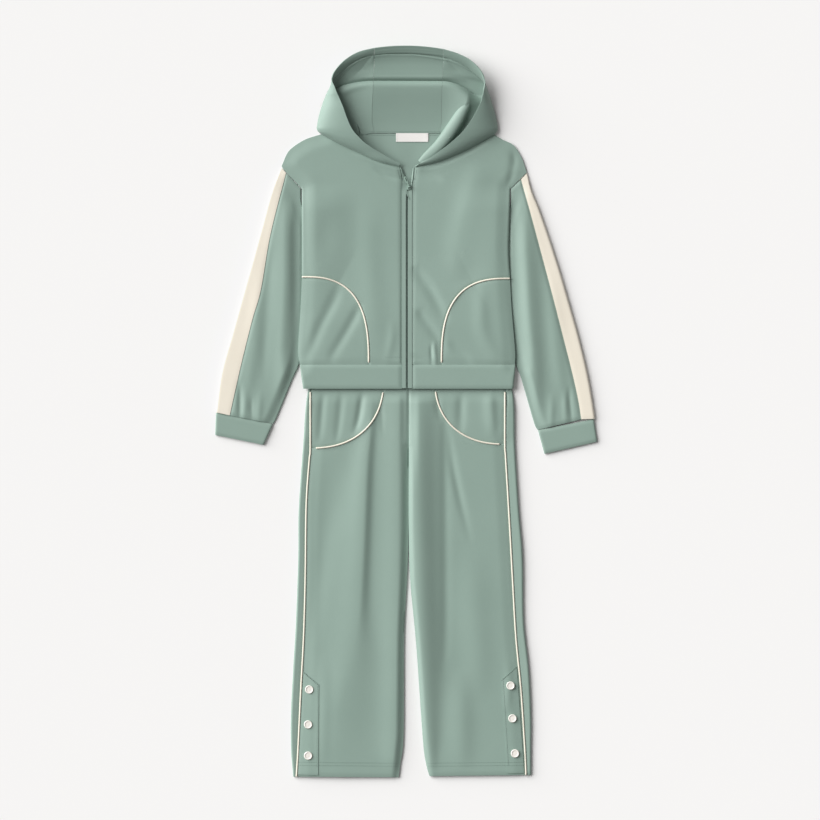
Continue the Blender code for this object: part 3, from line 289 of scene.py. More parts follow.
def smooth(start, end, value):
    """0 at start, 1 at end, eased between."""
    t = np.clip((value - start) / (end - start), 0.0, 1.0)
    return t * t * (3 - 2 * t)


def length_along(line):
    return np.concatenate([[0.0], np.cumsum(np.linalg.norm(np.diff(line, axis=0), axis=1))])


def curved(points, steps):
    """A smooth curve through the points, with a number of steps from each to the next."""
    p = np.array([np.asarray(q, float) for q in points])
    p = np.vstack([2 * p[0] - p[1], p, 2 * p[-1] - p[-2]])
    t = np.linspace(0, 1, steps, endpoint=False)[:, None]
    parts = [0.5 * (2 * b + (c - a) * t + (2 * a - 5 * b + 4 * c - d) * t**2 + (3 * b - a - 3 * c + d) * t**3)
             for a, b, c, d in zip(p, p[1:], p[2:], p[3:])]
    return np.vstack(parts + [p[-2:-1]])


def spaced(points, count):
    """A smooth curve through the points, as count + 1 points at even lengths."""
    fine = curved(points, 16)
    run = length_along(fine)
    at = np.linspace(0, run[-1], count + 1)
    return np.stack([np.interp(at, run, fine[:, k]) for k in range(fine.shape[1])], axis=1)


def straight(start, end, count):
    t = np.linspace(0, 1, count + 1)[:, None]
    return np.asarray(start, float) * (1 - t) + np.asarray(end, float) * t


def joined(*lines):
    """Lines end to end, without the shared points twice."""
    return np.vstack([lines[0]] + [line[1:] for line in lines[1:]])


def nearest(line, plan):
    """For each plan point, how far the line is, on which side (1 is west of a line drawn downwards), and
    the share of its length there."""
    line = np.asarray(line, float)
    run = length_along(line)
    best = np.full(plan.shape[:-1], np.inf)
    side, share = np.zeros_like(best), np.zeros_like(best)
    for start, step, before in zip(line[:-1], np.diff(line, axis=0), run):
        length = np.linalg.norm(step)
        t = np.clip((plan - start) @ step / length**2, 0, 1)
        away = plan - start - t[..., None] * step
        far = np.linalg.norm(away, axis=-1)
        closer = far < best
        best = np.where(closer, far, best)
        side = np.where(closer, np.sign(away[..., 0] * step[1] - away[..., 1] * step[0]), side)
        share = np.where(closer, (before + t * length) / run[-1], share)
    return best, side, share


def away_from(line, plan):
    return nearest(line, plan)[0]


def folded(folds, plan):
    """The sum of the folds' heights at each plan point: soft ridges, or troughs where negative."""
    total = np.zeros(plan.shape[:-1])
    for points in folds:
        crest = spaced(points, 5 * len(points))
        widest = crest[:, 2:4].max() * FOLD_REACH
        low, high = crest[:, :2].min(axis=0) - widest, crest[:, :2].max(axis=0) + widest
        near = np.all((plan > low) & (plan < high), axis=-1)
        far, side, share = nearest(crest[:, :2], plan[near])
        run = length_along(crest[:, :2])
        west, east, height = (np.interp(share * run[-1], run, crest[:, k]) for k in (2, 3, 4))
        total[near] += height * np.exp(-((far / np.where(side > 0, west, east)) ** 2))
    return total


def pocket_arc(pocket, side, count):
    """A pocket's curved edge, from its inner end round to the side."""
    angle = np.linspace(0, math.pi / 2, count + 1)
    across = np.abs(np.cos(angle)) ** (2 / pocket.power)
    up = np.sin(angle) ** (2 / pocket.power)
    return np.stack([pocket.x - side.sign * pocket.across * across, pocket.y + pocket.up * up], axis=1)


def trouser_pocket_edge(side, count):
    pocket = TROUSER_POCKET[side]
    return pocket_arc(pocket._replace(up=-pocket.up), side, count)[::-1]


def side_seam(side, count):
    """The piped seam up the leg, as far as the pocket."""
    return spaced(LEG_PIPING[side][:-1] + [tuple(trouser_pocket_edge(side, 4)[0])], count)


def pocket_side_seam(side, count):
    low = trouser_pocket_edge(side, 4)[0]
    waist_out = (LEG_OUTER[side][-1][0] - side.sign * 6, WAIST_SEAM)
    return spaced([tuple(low), (low[0], 0), (low[0] + side.sign * 1, 29), waist_out], count)


def trouser_z(side):
    def height(plan):
        y = plan[..., 1]
        to_inner = away_from(LEG_INNER[side], plan)
        to_outer = away_from(LEG_PIPING[side], plan)
        in_leg = smooth(0, LEG_TOP, y)
        inner_drop = in_leg * INNER_DROP[side] * (1 - smooth(0, INNER_ROLL[side], to_inner))
        rise = TROUSER_RISE * (1 - inner_drop)
        rise = rise * (0.45 + 0.55 * smooth(0, OUTER_ROLL, to_outer))
        near_seam = (1 - in_leg) * (1 - smooth(0, SEAM_EASE, abs(plan[..., 0] - CENTRE_SEAM_X)))
        folds = folded(TROUSER_FOLDS[side], plan) * (1 - 0.6 * near_seam) * (1 - 0.65 * inner_drop)
        folds = folds * (1 - in_leg * (1 - smooth(0, OUTER_EASE, to_outer)))
        return TROUSER_FLAT + smooth(44, 14, y) * np.maximum(0.0, rise + folds)

    return height


def on_surface(plan):
    return np.full(plan.shape[:-1], FLOOR)


def wrapped(top_line, edge_line, under_line, top_z, under_z, columns, turns=8):
    """Rows that run out along a top layer, round an edge and back along an under layer."""
    top, edge, under = (np.asarray(line, float)[:, :2] for line in (top_line, edge_line, under_line))
    out = (edge - top) / np.linalg.norm(edge - top, axis=1)[:, None]
    inside = edge - 2 * out
    radius = 0.5 * (top_z(inside) - under_z(inside))[:, None]
    centre = edge - out * (radius + HALF)
    places = [(top + (centre - top) * k / columns[0], None, 1.0) for k in range(columns[0])]
    for k in range(turns + 1):
        angle = math.pi * (0.5 - k / turns)
        places.append((centre + out * radius * math.cos(angle), centre, 0.5 + 0.5 * math.sin(angle)))
    places += [(centre + (under - centre) * k / columns[1], None, 0.0) for k in range(1, columns[1] + 1)]
    plan = np.stack([p for p, _, _ in places], axis=1)
    seat = np.stack([p if at is None else at for p, at, _ in places], axis=1)
    share = np.array([s for _, _, s in places])
    z = under_z(seat) * (1 - share) + top_z(seat) * share
    return np.dstack([plan, z])


def unrolled(grid):
    """How far each point of the rows lies across and along them, once they are laid flat."""
    across = np.pad(np.cumsum(np.linalg.norm(np.diff(grid, axis=1), axis=2), axis=1), ((0, 0), (1, 0)))
    along = np.pad(np.cumsum(np.linalg.norm(np.diff(grid, axis=0), axis=2), axis=0), ((1, 0), (0, 0)))
    return across, along


def rolled(grid, dip=SEAM_DIP):
    """Press a piece down along its seams, apart from where it lies on the surface."""
    across, along = unrolled(grid)
    edge = np.minimum.reduce([across, across[:, -1:] - across, along, along[-1:] - along])
    pressed = grid.copy()
    pressed[..., 2] -= dip * np.exp(-((edge / SEAM_ROLL) ** 2)) * smooth(2.2, 4.5, grid[..., 2])
    return pressed


def baked(thing):
    """The object's evaluated mesh in place of its own, with no modifiers left."""
    bpy.context.view_layer.update()
    graph = bpy.context.evaluated_depsgraph_get()
    mesh = bpy.data.meshes.new_from_object(thing.evaluated_get(graph))
    thing.modifiers.clear()
    thing.data = mesh
    return thing


def smooth_thing(name, mesh, finish):
    mesh.materials.append(finish)
    mesh.shade_smooth()
    return linked(name, mesh)


def dress(piece, node=None):
    """Set a piece in the garments body, and hide the solid that it stands for."""
    if node is not None:
        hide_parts(node)
    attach(piece, "garments")


def cloth_piece(name, grid, finish, node, thickness=CLOTH, missing=None):
    """A cloth wall round rows of mid-surface points, which may stand for a solid. Its cut is what the rows
    unroll to."""
    grid = np.asarray(grid, float)
    rows, columns = grid.shape[:2]
    across, along = unrolled(grid)
    index = np.arange(rows * columns).reshape(rows, columns)
    faces = np.stack([index[:-1, :-1], index[:-1, 1:], index[1:, 1:], index[1:, :-1]], axis=-1)
    keep = np.ones((rows - 1, columns - 1), bool) if missing is None else ~missing
    faces = faces[keep]
    mesh = bpy.data.meshes.new(name)
    mesh.from_pydata((grid.reshape(-1, 3) * MM).tolist(), [], faces.tolist())
    grain = np.stack([across.ravel(), along.ravel()], axis=1) * MM
    layer = mesh.uv_layers.new(name="grain")
    layer.data.foreach_set("uv", grain[faces.ravel()].ravel().astype(np.float32))
    shape = bmesh.new()
    shape.from_mesh(mesh)
    bmesh.ops.remove_doubles(shape, verts=shape.verts, dist=WELD * MM)
    area = sum(face.calc_area() for face in shape.faces)
    shape.to_mesh(mesh)
    shape.free()
    piece = smooth_thing(name, mesh, finish)
    wall = piece.modifiers.new("wall", "SOLIDIFY")
    wall.thickness = thickness * MM
    wall.offset = 0
    wall.use_even_offset = True
    baked(piece)
    piece.data.set_sharp_from_angle(angle=WALL_ANGLE)
    for vertex in piece.data.vertices:
        if vertex.co.z < NEAR_FLOOR * MM:
            vertex.co.z = 0.0
    dress(piece, node)
    return piece


def knit(name, colour, light):
    """Double knit: fine upright wales of small loops, a soft sheen, and a faint unevenness in the dye."""
    finish, shader, maths = new_finish(name)
    spot = maths.make("ShaderNodeUVMap", {"uv_map": "grain"}, {})
    place = maths.place()
    u, v = spot.parts()
    wale = (u * (2 * math.pi / (KNIT_WALE * MM))).sine()
    course = (v * (2 * math.pi / (KNIT_COURSE * MM)) + wale * 1.2).sine()
    loops = wale * 0.5 + course * 0.35 + 0.5
    dye = maths.noise(place, DYE_PATCH)
    heather = maths.noise(place, HEATHER)
    shade = dye * 0.7 + heather * 0.3
    feed(finish, shader,
         Base_Color=maths.mix(shade, colour, light),
         Roughness=0.50 + heather * 0.10,
         Normal=maths.bump(loops, KNIT_DEPTH * MM, 0.35))
    shader.inputs["Specular IOR Level"].default_value = 0.42
    shader.inputs["Sheen Weight"].default_value = 0.18
    shader.inputs["Sheen Roughness"].default_value = 0.45
    return finish


trouser_cloth = knit("trouser_knit", GREEN, GREEN_LIGHT)

for side in SIDES:
    gap_side = np.array([side.sign, 0])
    outer = spaced(LEG_OUTER[side], BACK_ROWS)
    seam = spaced(joined(side_seam(side, 26), pocket_side_seam(side, 10)), BACK_ROWS)
    seam = seam + gap_side * (SEAM / 2 + 1.1 * smooth(-40, 0, seam[:, 1:]))
    low_x = LEG_INNER[side][-1][0]
    inner = spaced(LEG_INNER[side] + [(low_x, 20), (low_x, WAIST_SEAM)], BACK_ROWS) + gap_side * SEAM / 2
    grid = wrapped(seam, outer, inner, trouser_z(side), on_surface, (8, 10))
    cloth_piece(f"trouser_back_{side.name}_cloth", rolled(grid), trouser_cloth,
                f"trouser_back_{side.name}")

# Trouser fronts and pockets
# Each front leg is one panel with its upper outer corner cut away in a curve, and the pocket panel
# fills that corner. Long folds hang from under the jacket's hem.
FINE = 9
FRONT_COLUMNS = 64
INSEAM_Z = 2.4


def coons(bottom, top, left, right):
    """Plan points between four edges: bottom and top run left to right, left and right run upwards."""
    v = np.linspace(0, 1, len(left))[:, None, None]
    u = np.linspace(0, 1, len(bottom))[None, :, None]
    ruled = (1 - u) * left[:, None] + u * right[:, None] + (1 - v) * bottom[None] + v * top[None]
    corners = ((1 - u) * (1 - v) * left[0] + u * (1 - v) * right[0]
               + (1 - u) * v * left[-1] + u * v * right[-1])
    return ruled - corners


def inset(bottom, top, left, right, by=SEAM / 2):
    """The same four edges, each moved inwards by half a seam."""
    loop = np.vstack([bottom, right[1:], top[::-1][1:], left[::-1][1:-1]])
    before = loop - np.roll(loop, 1, axis=0)
    after = np.roll(loop, -1, axis=0) - loop
    area = np.sum(loop[:, 0] * np.roll(loop[:, 1], -1) - np.roll(loop[:, 0], -1) * loop[:, 1])

    def inwards(step):
        turned = np.stack([-step[:, 1], step[:, 0]], axis=1) * np.sign(area)
        return turned / np.maximum(1e-9, np.linalg.norm(step, axis=1))[:, None]

    n1, n2 = inwards(before), inwards(after)
    mitre = n1 + n2
    mitre = mitre / np.maximum(0.6, np.sum(mitre * n1, axis=1))[:, None]
    moved = loop + by * mitre
    b, r, t = len(bottom), len(right), len(top)
    new_left = np.vstack([moved[:1], moved[b + r + t - 3:][::-1]])
    return moved[:b], moved[b + r - 2:b + r + t - 2][::-1], new_left, moved[b - 1:b + r - 1]


def panel(bottom, top, left, right, height):
    """Rows of points between four seams, at the height of their layer."""
    plan = coons(*inset(bottom, top, left, right))
    return rolled(np.dstack([plan, height(plan)]))


for side in SIDES:
    pocket_edge = trouser_pocket_edge(side, 10 * FINE)
    waist_in = np.array([pocket_edge[-1][0], WAIST_SEAM])
    outer = joined(side_seam(side, 13 * FINE), pocket_edge, straight(pocket_edge[-1], waist_in, 2 * FINE))
    leg = spaced(LEG_INNER[side], 14 * FINE)
    inner = joined(leg, straight(leg[-1], (leg[-1][0], WAIST_SEAM), 11 * FINE))
    foot, waist = (straight(outer[k], inner[k], FRONT_COLUMNS) for k in (0, -1))
    grid = panel(foot, waist, outer, inner, trouser_z(side))
    fall = grid[:, -1:].copy()
    fall[..., 2] = np.minimum(fall[..., 2], INSEAM_Z)
    cloth_piece(f"trouser_front_{side.name}_cloth", np.concatenate([grid, fall], axis=1), trouser_cloth,
                f"trouser_front_{side.name}")

    low = pocket_edge[:5 * FINE + 1]
    right = joined(pocket_edge[5 * FINE:], straight(pocket_edge[-1], waist_in, 2 * FINE))
    left = pocket_side_seam(side, 7 * FINE)
    edges = (low, straight(left[-1], waist_in, 5 * FINE), left, right)
    cloth_piece(f"trouser_pocket_{side.name}_cloth", panel(*edges, trouser_z(side)), trouser_cloth,
                f"trouser_pocket_{side.name}")

# Waistband
# A plain elastic waistband of the same knit, flattened into a ring. The jacket covers it.
WAIST_TOP = 148
WAIST_ROWS = 12
WAIST_GATHERS = 46
WAIST_GATHER_HEIGHT = 0.35

rows = np.linspace(WAIST_SEAM + SEAM, WAIST_TOP, WAIST_ROWS + 1)
centre_line = np.stack([np.full_like(rows, CENTRE_SEAM_X), rows], axis=1)
halves = []
for side in SIDES:
    edge_line = np.stack([np.full_like(rows, LEG_OUTER[side][-1][0]), rows], axis=1)
    halves.append(wrapped(centre_line, edge_line, centre_line, trouser_z(LEFT), on_surface, (46, 20)))
grid = np.concatenate([halves[0], halves[1][:, ::-1][:, 1:]], axis=1)
gathers = np.sin(np.linspace(0, WAIST_GATHERS * 2 * math.pi, grid.shape[1]))
grid[..., 2] += WAIST_GATHER_HEIGHT * gathers * smooth(2.2, 3.0, grid[..., 2])
cloth_piece("waistband_cloth", grid, trouser_cloth, "waistband")

# Trouser piping
# A thin cord in cream cloth is sewn into each side seam from hem to waist, and another round the curved
# edge of each pocket. Each lies half sunk between the panels it joins.
PIPING_RADIUS = 1.5
PIPING_SINK = 0.9
PIPING_SIDES = 10
CREAM = (0.76, 0.70, 0.585, 1)
CREAM_LIGHT = (0.80, 0.745, 0.64, 1)
HEM_REACH = 36

cream_cloth = knit("cream_knit", CREAM, CREAM_LIGHT)


def trees_of(pieces):
    bpy.context.view_layer.update()
    graph = bpy.context.evaluated_depsgraph_get()
    return [BVHTree.FromObject(piece, graph) for piece in pieces]


def top_of(plan, trees):
    """The height in mm of the highest piece under each plan point."""
    tops = []
    for x, y in plan:
        hits = [tree.ray_cast(Vector((x * MM, y * MM, 1.0)), Vector((0, 0, -1))) for tree in trees]
        tops.append(max([hit[0].z / MM for hit in hits if hit[0] is not None] + [0.0]))
    return np.array(tops)


def sideways(line):
    """The unit step to the left of a plan line at each of its points."""
    along = np.gradient(line[:, :2], axis=0)
    along = along / np.linalg.norm(along, axis=1)[:, None]
    return np.stack([-along[:, 1], along[:, 0]], axis=1)


def seated(line, trees, reach):
    """How high a line's points lie, clear of the pieces within a reach to either side."""
    across = sideways(line)
    tops = np.maximum.reduce([top_of(line[:, :2] + across * off, trees)
                              for off in (-reach, -reach / 2, 0, reach / 2, reach)])
    padded = np.pad(tops, 2, mode="edge")
    return np.convolve(padded, np.ones(5) / 5, mode="valid")


def named(*names):
    return [bpy.data.objects[name] for name in names]


def cord_mesh(name, points, radius, sides, finish):
    """A round tube along a line of points in mm, closed at its ends."""
    points = np.asarray(points, float)
    along = np.gradient(points, axis=0)
    along = along / np.linalg.norm(along, axis=1)[:, None]
    across = np.cross(along, (0, 0, 1.0))
    across = across / np.linalg.norm(across, axis=1)[:, None]
    up = np.cross(across, along)
    shape = bmesh.new()
    rings = []
    for point, a, b in zip(points, across, up):
        ring = []
        for k in range(sides):
            angle = 2 * math.pi * k / sides
            ring.append(shape.verts.new((point + radius * (math.cos(angle) * a + math.sin(angle) * b)) * MM))
        rings.append(ring)
    for one, two in zip(rings, rings[1:]):
        for k in range(sides):
            shape.faces.new((one[k], one[(k + 1) % sides], two[(k + 1) % sides], two[k]))
    shape.faces.new(rings[0][::-1])
    shape.faces.new(rings[-1])
    bmesh.ops.recalc_face_normals(shape, faces=shape.faces)
    lay = shape.loops.layers.uv.new("grain")
    for face in shape.faces:
        for loop in face.loops:
            loop[lay].uv = (loop.vert.co.x, loop.vert.co.y)
    mesh = bpy.data.meshes.new(name)
    shape.to_mesh(mesh)
    shape.free()
    return smooth_thing(name, mesh, finish)


def piping(name, line, under, node):
    line = np.asarray(line, float)
    z = seated(line, trees_of(under), PIPING_RADIUS) + PIPING_RADIUS - PIPING_SINK
    piece = cord_mesh(name, np.column_stack([line, z]), PIPING_RADIUS, PIPING_SIDES, cream_cloth)
    dress(piece, node)


for side in SIDES:
    panels = named(f"trouser_front_{side.name}_cloth", f"trouser_pocket_{side.name}_cloth",
                   f"trouser_back_{side.name}_cloth")
    seam = side_seam(side, 40)
    line = spaced(np.vstack([seam, (seam[-1][0], HEM_REACH)]), 260)
    piping(f"side_piping_{side.name}_cord", line, panels, f"side_piping_{side.name}")
    edge = trouser_pocket_edge(side, 60)
    inside = edge[:, 1] < HEM_REACH + 2
    piping(f"trouser_pocket_piping_{side.name}_cord", spaced(edge[inside][2:], 90), panels,
           f"trouser_pocket_piping_{side.name}")

# Hem stitching and vents
# Two rows of stitches hold each trouser hem. At the outer side a stitched-down placket with a slanted
# top carries three closed snaps.
THREAD_GREEN = (0.150, 0.215, 0.180, 1)
STITCH_SPACING = 3.1
STITCH_LENGTH = 2.5
THREAD = 0.55
THREAD_TWIST = 3000.0
HEM_ROWS = (-630, -635.5)
PLACKET_THICK = 0.8
VENT_STITCHES = (1.4, 2.1, 2.8)
PLACKET_ROWS = 60
PLACKET_COLUMNS = 14
VENT_TOP = {LEFT: [(-184, -468), (-157, -490)], RIGHT: [(199, -458), (172, -481)]}
VENT_FOOT = {LEFT: [(-194.5, -652), (-158, -653)], RIGHT: [(212.5, -649), (182, -650)]}


def thread_finish(name, colour):
    """Twisted polyester thread, a little glossier than the cloth."""
    finish, shader, maths = new_finish(name)
    twist = maths.noise(maths.place(), THREAD_TWIST)
    feed(finish, shader, Base_Color=maths.mix(twist, shaded(colour, 0.8), colour))
    shader.inputs["Roughness"].default_value = 0.42
    return finish


def row_tree(name, bead_kind, bead_values, rounding):
    """Geometry nodes that set a small bead at even steps along lines, long axis along the line."""
    tree = bpy.data.node_groups.new(name, "GeometryNodeTree")
    tree.interface.new_socket("Line", in_out="INPUT", socket_type="NodeSocketGeometry")
    for label in ("Spacing", "Width", "Height", "Length"):
        tree.interface.new_socket(label, in_out="INPUT", socket_type="NodeSocketFloat")
    tree.interface.new_socket("Finish", in_out="INPUT", socket_type="NodeSocketMaterial")
    tree.interface.new_socket("Row", in_out="OUTPUT", socket_type="NodeSocketGeometry")
    given = tree.nodes.new("NodeGroupInput")
    result = tree.nodes.new("NodeGroupOutput")

    def add(kind, **links):
        node = tree.nodes.new(kind)
        for key, value in links.items():
            socket = node.inputs[key.replace("_", " ")]
            if isinstance(value, bpy.types.NodeSocket):
                tree.links.new(value, socket)
            else:
                socket.default_value = value
        return node

    curve = add("GeometryNodeMeshToCurve", Mesh=given.outputs["Line"])
    points = tree.nodes.new("GeometryNodeCurveToPoints")
    points.mode = "LENGTH"
    tree.links.new(curve.outputs[0], points.inputs["Curve"])
    tree.links.new(given.outputs["Spacing"], points.inputs["Length"])
    bead = add(bead_kind, **bead_values)
    rounded = add("GeometryNodeSubdivisionSurface", Mesh=bead.outputs[0], Level=rounding)
    size = add("ShaderNodeCombineXYZ", X=given.outputs["Width"], Y=given.outputs["Height"],
               Z=given.outputs["Length"])
    placed = add("GeometryNodeInstanceOnPoints", Points=points.outputs["Points"], Instance=rounded.outputs[0],
                 Rotation=points.outputs["Rotation"], Scale=size.outputs[0])
    real = add("GeometryNodeRealizeInstances", Geometry=placed.outputs[0])
    soft = add("GeometryNodeSetShadeSmooth", Geometry=real.outputs[0])
    dressed = add("GeometryNodeSetMaterial", Geometry=soft.outputs[0], Material=given.outputs["Finish"])
    tree.links.new(dressed.outputs[0], result.inputs[0])
    return tree


def beaded(name, tree, lines, sizes, finish):
    """A row of beads along each line of points in mm, as one plain mesh."""
    places, steps = [], []
    for line in lines:
        first = len(places)
        places += [tuple(float(c) * MM for c in point) for point in line]
        steps += [(first + k, first + k + 1) for k in range(len(line) - 1)]
    mesh = bpy.data.meshes.new(name)
    mesh.from_pydata(places, steps, [])
    piece = linked(name, mesh)
    row = piece.modifiers.new("row", "NODES")
    row.node_group = tree
    identifiers = {item.name: item.identifier for item in tree.interface.items_tree if item.in_out == "INPUT"}
    for label, size in sizes.items():
        row[identifiers[label]] = size * MM
    row[identifiers["Finish"]] = finish
    return baked(piece)


stitch_tree = row_tree("stitches", "GeometryNodeMeshUVSphere", {"Segments": 6, "Rings": 4, "Radius": 0.5}, 0)
green_thread = thread_finish("green_thread", THREAD_GREEN)
stitch_size = {"Spacing": STITCH_SPACING, "Width": THREAD, "Height": THREAD, "Length": STITCH_LENGTH}


def stitched(name, lines, finish=green_thread):
    dress(beaded(name, stitch_tree, lines, stitch_size, finish))


def on_top(line, pieces, lift=0.1):
    """A plan line laid on the pieces under it."""
    line = np.asarray(line, float)
    return np.column_stack([line, top_of(line, trees_of(pieces)) + lift])


def between(low, high, share):
    return low + (high - low) * share


for side in SIDES:
    front = named(f"trouser_front_{side.name}_cloth")
    foot = np.array(VENT_FOOT[side], float)
    head = np.array(VENT_TOP[side], float)
    plan = coons(straight(foot[0], foot[1], PLACKET_COLUMNS), straight(head[0], head[1], PLACKET_COLUMNS),
                 straight(foot[0], head[0], PLACKET_ROWS), straight(foot[1], head[1], PLACKET_ROWS))
    tree = trees_of(front)
    z = top_of(plan.reshape(-1, 2), tree).reshape(plan.shape[:2]) + PLACKET_THICK / 2 + 0.15
    placket = cloth_piece(f"vent_placket_{side.name}_cloth", np.dstack([plan, z]), trouser_cloth,
                          f"vent_placket_{side.name}",
                          thickness=PLACKET_THICK)
    leg_edge = LEG_INNER[side][1][0] + side.sign * 3
    side_edge = between(foot[0], head[0], 0.1)[0] - side.sign * 1
    rows = [straight((side_edge, y), (leg_edge, y - 1.5), 60) for y in HEM_ROWS]
    inset_x = np.array([-side.sign * 2.2, 0])
    upright = straight(foot[1] + np.array([0, 16]) - inset_x, head[1] - inset_x * 1.2, 60)
    slants = [straight(head[0] + np.array([-side.sign * 1.5, -drop]), head[1] + np.array([0, -drop]), 16)
              for drop in VENT_STITCHES]
    lines = [on_top(line, front + [placket]) for line in rows + [upright] + slants]
    stitched(f"hem_stitches_{side.name}", lines)

# Snaps
# Each closed snap shows its cap: a shallow pearly dish of moulded resin with a rounded rim.
SNAPS = {
    LEFT: [(-174, -499), (-176, -562), (-176, -618)],
    RIGHT: [(188, -492), (191.5, -551), (196, -614)],
}
SNAP_PROFILE = [(0.0, 1.75), (2.4, 1.7), (4.2, 1.62), (5.1, 1.75), (5.7, 2.25), (6.4, 2.45), (7.1, 2.15),
                (7.5, 1.4), (7.4, 0.5), (6.9, 0.0), (0.0, 0.0)]
SNAP_SEGMENTS = 40
PEARL_CLOUD = 180.0
PEARL = (0.845, 0.825, 0.775, 1)
PEARL_WARM = (0.83, 0.77, 0.70, 1)


def pearl_finish():
    finish, shader, maths = new_finish("pearl_resin")
    cloud = maths.noise(maths.place(), PEARL_CLOUD, 3.0)
    feed(finish, shader, Base_Color=maths.mix(cloud, PEARL, PEARL_WARM), Roughness=0.22 + cloud * 0.12)
    shader.inputs["Coat Weight"].default_value = 0.5
    shader.inputs["Coat Roughness"].default_value = 0.12
    return finish


pearl = pearl_finish()


def turned(name, profile, segments, place, finish):
    """A profile of (radius, height) turned about an upright axis."""
    shape = bmesh.new()
    rings = []
    for radius, height in profile:
        count = segments if radius > 0 else 1
        rings.append([shape.verts.new(((place[0] + radius * math.cos(2 * math.pi * k / count)) * MM,
                                       (place[1] + radius * math.sin(2 * math.pi * k / count)) * MM,
                                       (place[2] + height) * MM)) for k in range(count)])
    for one, two in zip(rings, rings[1:]):
        for k in range(segments):
            corners = [one[k % len(one)], one[(k + 1) % len(one)], two[(k + 1) % len(two)], two[k % len(two)]]
            shape.faces.new(list(dict.fromkeys(corners)))
    bmesh.ops.recalc_face_normals(shape, faces=shape.faces)
    mesh = bpy.data.meshes.new(name)
    shape.to_mesh(mesh)
    shape.free()
    return smooth_thing(name, mesh, finish)


for side in SIDES:
    trees = trees_of(named(f"vent_placket_{side.name}_cloth", f"trouser_front_{side.name}_cloth"))
    for k, (x, y) in enumerate(SNAPS[side], 1):
        around = np.array([(x + dx, y + dy) for dx in (-5, 0, 5) for dy in (-5, 0, 5)], float)
        seat = np.median(top_of(around, trees))
        cap = turned(f"snap_cap_{side.name}_{k}", SNAP_PROFILE, SNAP_SEGMENTS, (x, y, seat), pearl)
        dress(cap, f"snap_{side.name}_{k}")

# Jacket back
# One wide back panel, which runs from the hem band to the shoulders and the back neck. It lies over the
# trousers' waist, and its inside shows through the neck.
TROUSER_LIFT = 4.9
SLEEVE_LIFT = 4.4
LIFT_ALONG = (300, 150)
LIFT_ACROSS = (84, 161)
ARM_FADE = (414, 362)
BODY_MIDDLE = 0.5
HEM_BOTTOM = 42
HEM_SEAM = 85
BACK_NECK = [(-140, 500.5), (-105, 501), (-61, 501.6), (64, 501.6), (108, 501), (147, 500.5)]
SHOULDER = {
    LEFT: [(-224, 442), (-214, 465), (-203, 477), (-180, 491), (-152, 500)],
    RIGHT: [(217, 431), (210, 453), (200, 472), (191, 482), (174, 490), (159, 499)],
}
ARMHOLE = {
    LEFT: [(-187, 401), (-201, 416), (-214, 429), (-224, 442)],
    RIGHT: [(187, 401), (202, 416), (217, 431)],
}
BODY_SIDE = {
    LEFT: [(-187, 243), (-187, 330), (-187, 401)],
    RIGHT: [(187, 240), (184, 292), (186, 362), (187, 401)],
}
POCKET_SIDE = {
    LEFT: [(-191, HEM_SEAM), (-194, 112), (-190, 180), (-187, 243)],
    RIGHT: [(196, HEM_SEAM), (196, 112), (190, 184), (187, 240)],
}
BACK_FOLDS = [
    [(-34, 500, 14, 10, 0), (-12, 470, 14, 10, 1.2), (6, 440, 14, 10, 0)],
    [(54, 500, 10, 14, 0), (40, 468, 10, 14, 0.9), (28, 440, 10, 14, 0)],
]

jacket_cloth = knit("jacket_knit", GREEN, GREEN_LIGHT)


def jacket_back_z(plan):
    x, y = plan[..., 0], plan[..., 1]
    over_trousers = TROUSER_LIFT * smooth(*LIFT_ALONG, y)
    over_sleeve = SLEEVE_LIFT * smooth(*LIFT_ACROSS, abs(x - BODY_MIDDLE)) * smooth(*ARM_FADE, y)
    return FLOOR + np.maximum(over_trousers, over_sleeve)


def body_edge(side, fine):
    return joined(spaced(POCKET_SIDE[side], 6 * fine), spaced(BODY_SIDE[side], 7 * fine),
                  spaced(ARMHOLE[side], 2 * fine))


BACK_FINE = 4
left, right = body_edge(LEFT, BACK_FINE), body_edge(RIGHT, BACK_FINE)
shoulder_left = spaced(SHOULDER[LEFT], 3 * BACK_FINE)
shoulder_right = spaced(SHOULDER[RIGHT], 3 * BACK_FINE)[::-1]
neck = spaced(BACK_NECK, 5 * BACK_FINE)
top = np.vstack([shoulder_left, neck, shoulder_right])
edges = (straight(left[0], right[0], len(top) - 1), top, left, right)
cloth_piece("jacket_back_cloth", panel(*edges, lambda plan: jacket_back_z(plan) + folded(BACK_FOLDS, plan)),
            jacket_cloth, "jacket_back")

# Jacket fronts and pockets
# Each front runs from the zip to the side, with a dropped shoulder. Its lower outer corner is cut away in
# a curve, and the pocket panel fills it.
FRONT_PUFF = 2.6
PUFF_EASE = 26
FOLD_EASE = 14
FRONT_DEEPEST = -2.2
LAYER = CLOTH + 0.7
NECK = {
    LEFT: [(-152, 500), (-118, 482), (-84, 466), (-51, 451), (-12, 441)],
    RIGHT: [(159, 499), (130, 483), (101, 468), (57, 450), (16, 441)],
}
ZIP_LEFT = -7.7
ZIP_RIGHT = 11.1
ZIP_EDGE = {
    LEFT: [(ZIP_LEFT, HEM_SEAM), (ZIP_LEFT, 250), (ZIP_LEFT, 400), (-8.8, 425), (-12, 441)],
    RIGHT: [(ZIP_RIGHT, HEM_SEAM), (ZIP_RIGHT, 250), (11.4, 390), (14.2, 420), (16, 441)],
}
JACKET_POCKET = {
    LEFT: Pocket(-187, HEM_SEAM, 120, 158, 2.8),
    RIGHT: Pocket(187, HEM_SEAM, 123, 155, 2.8),
}
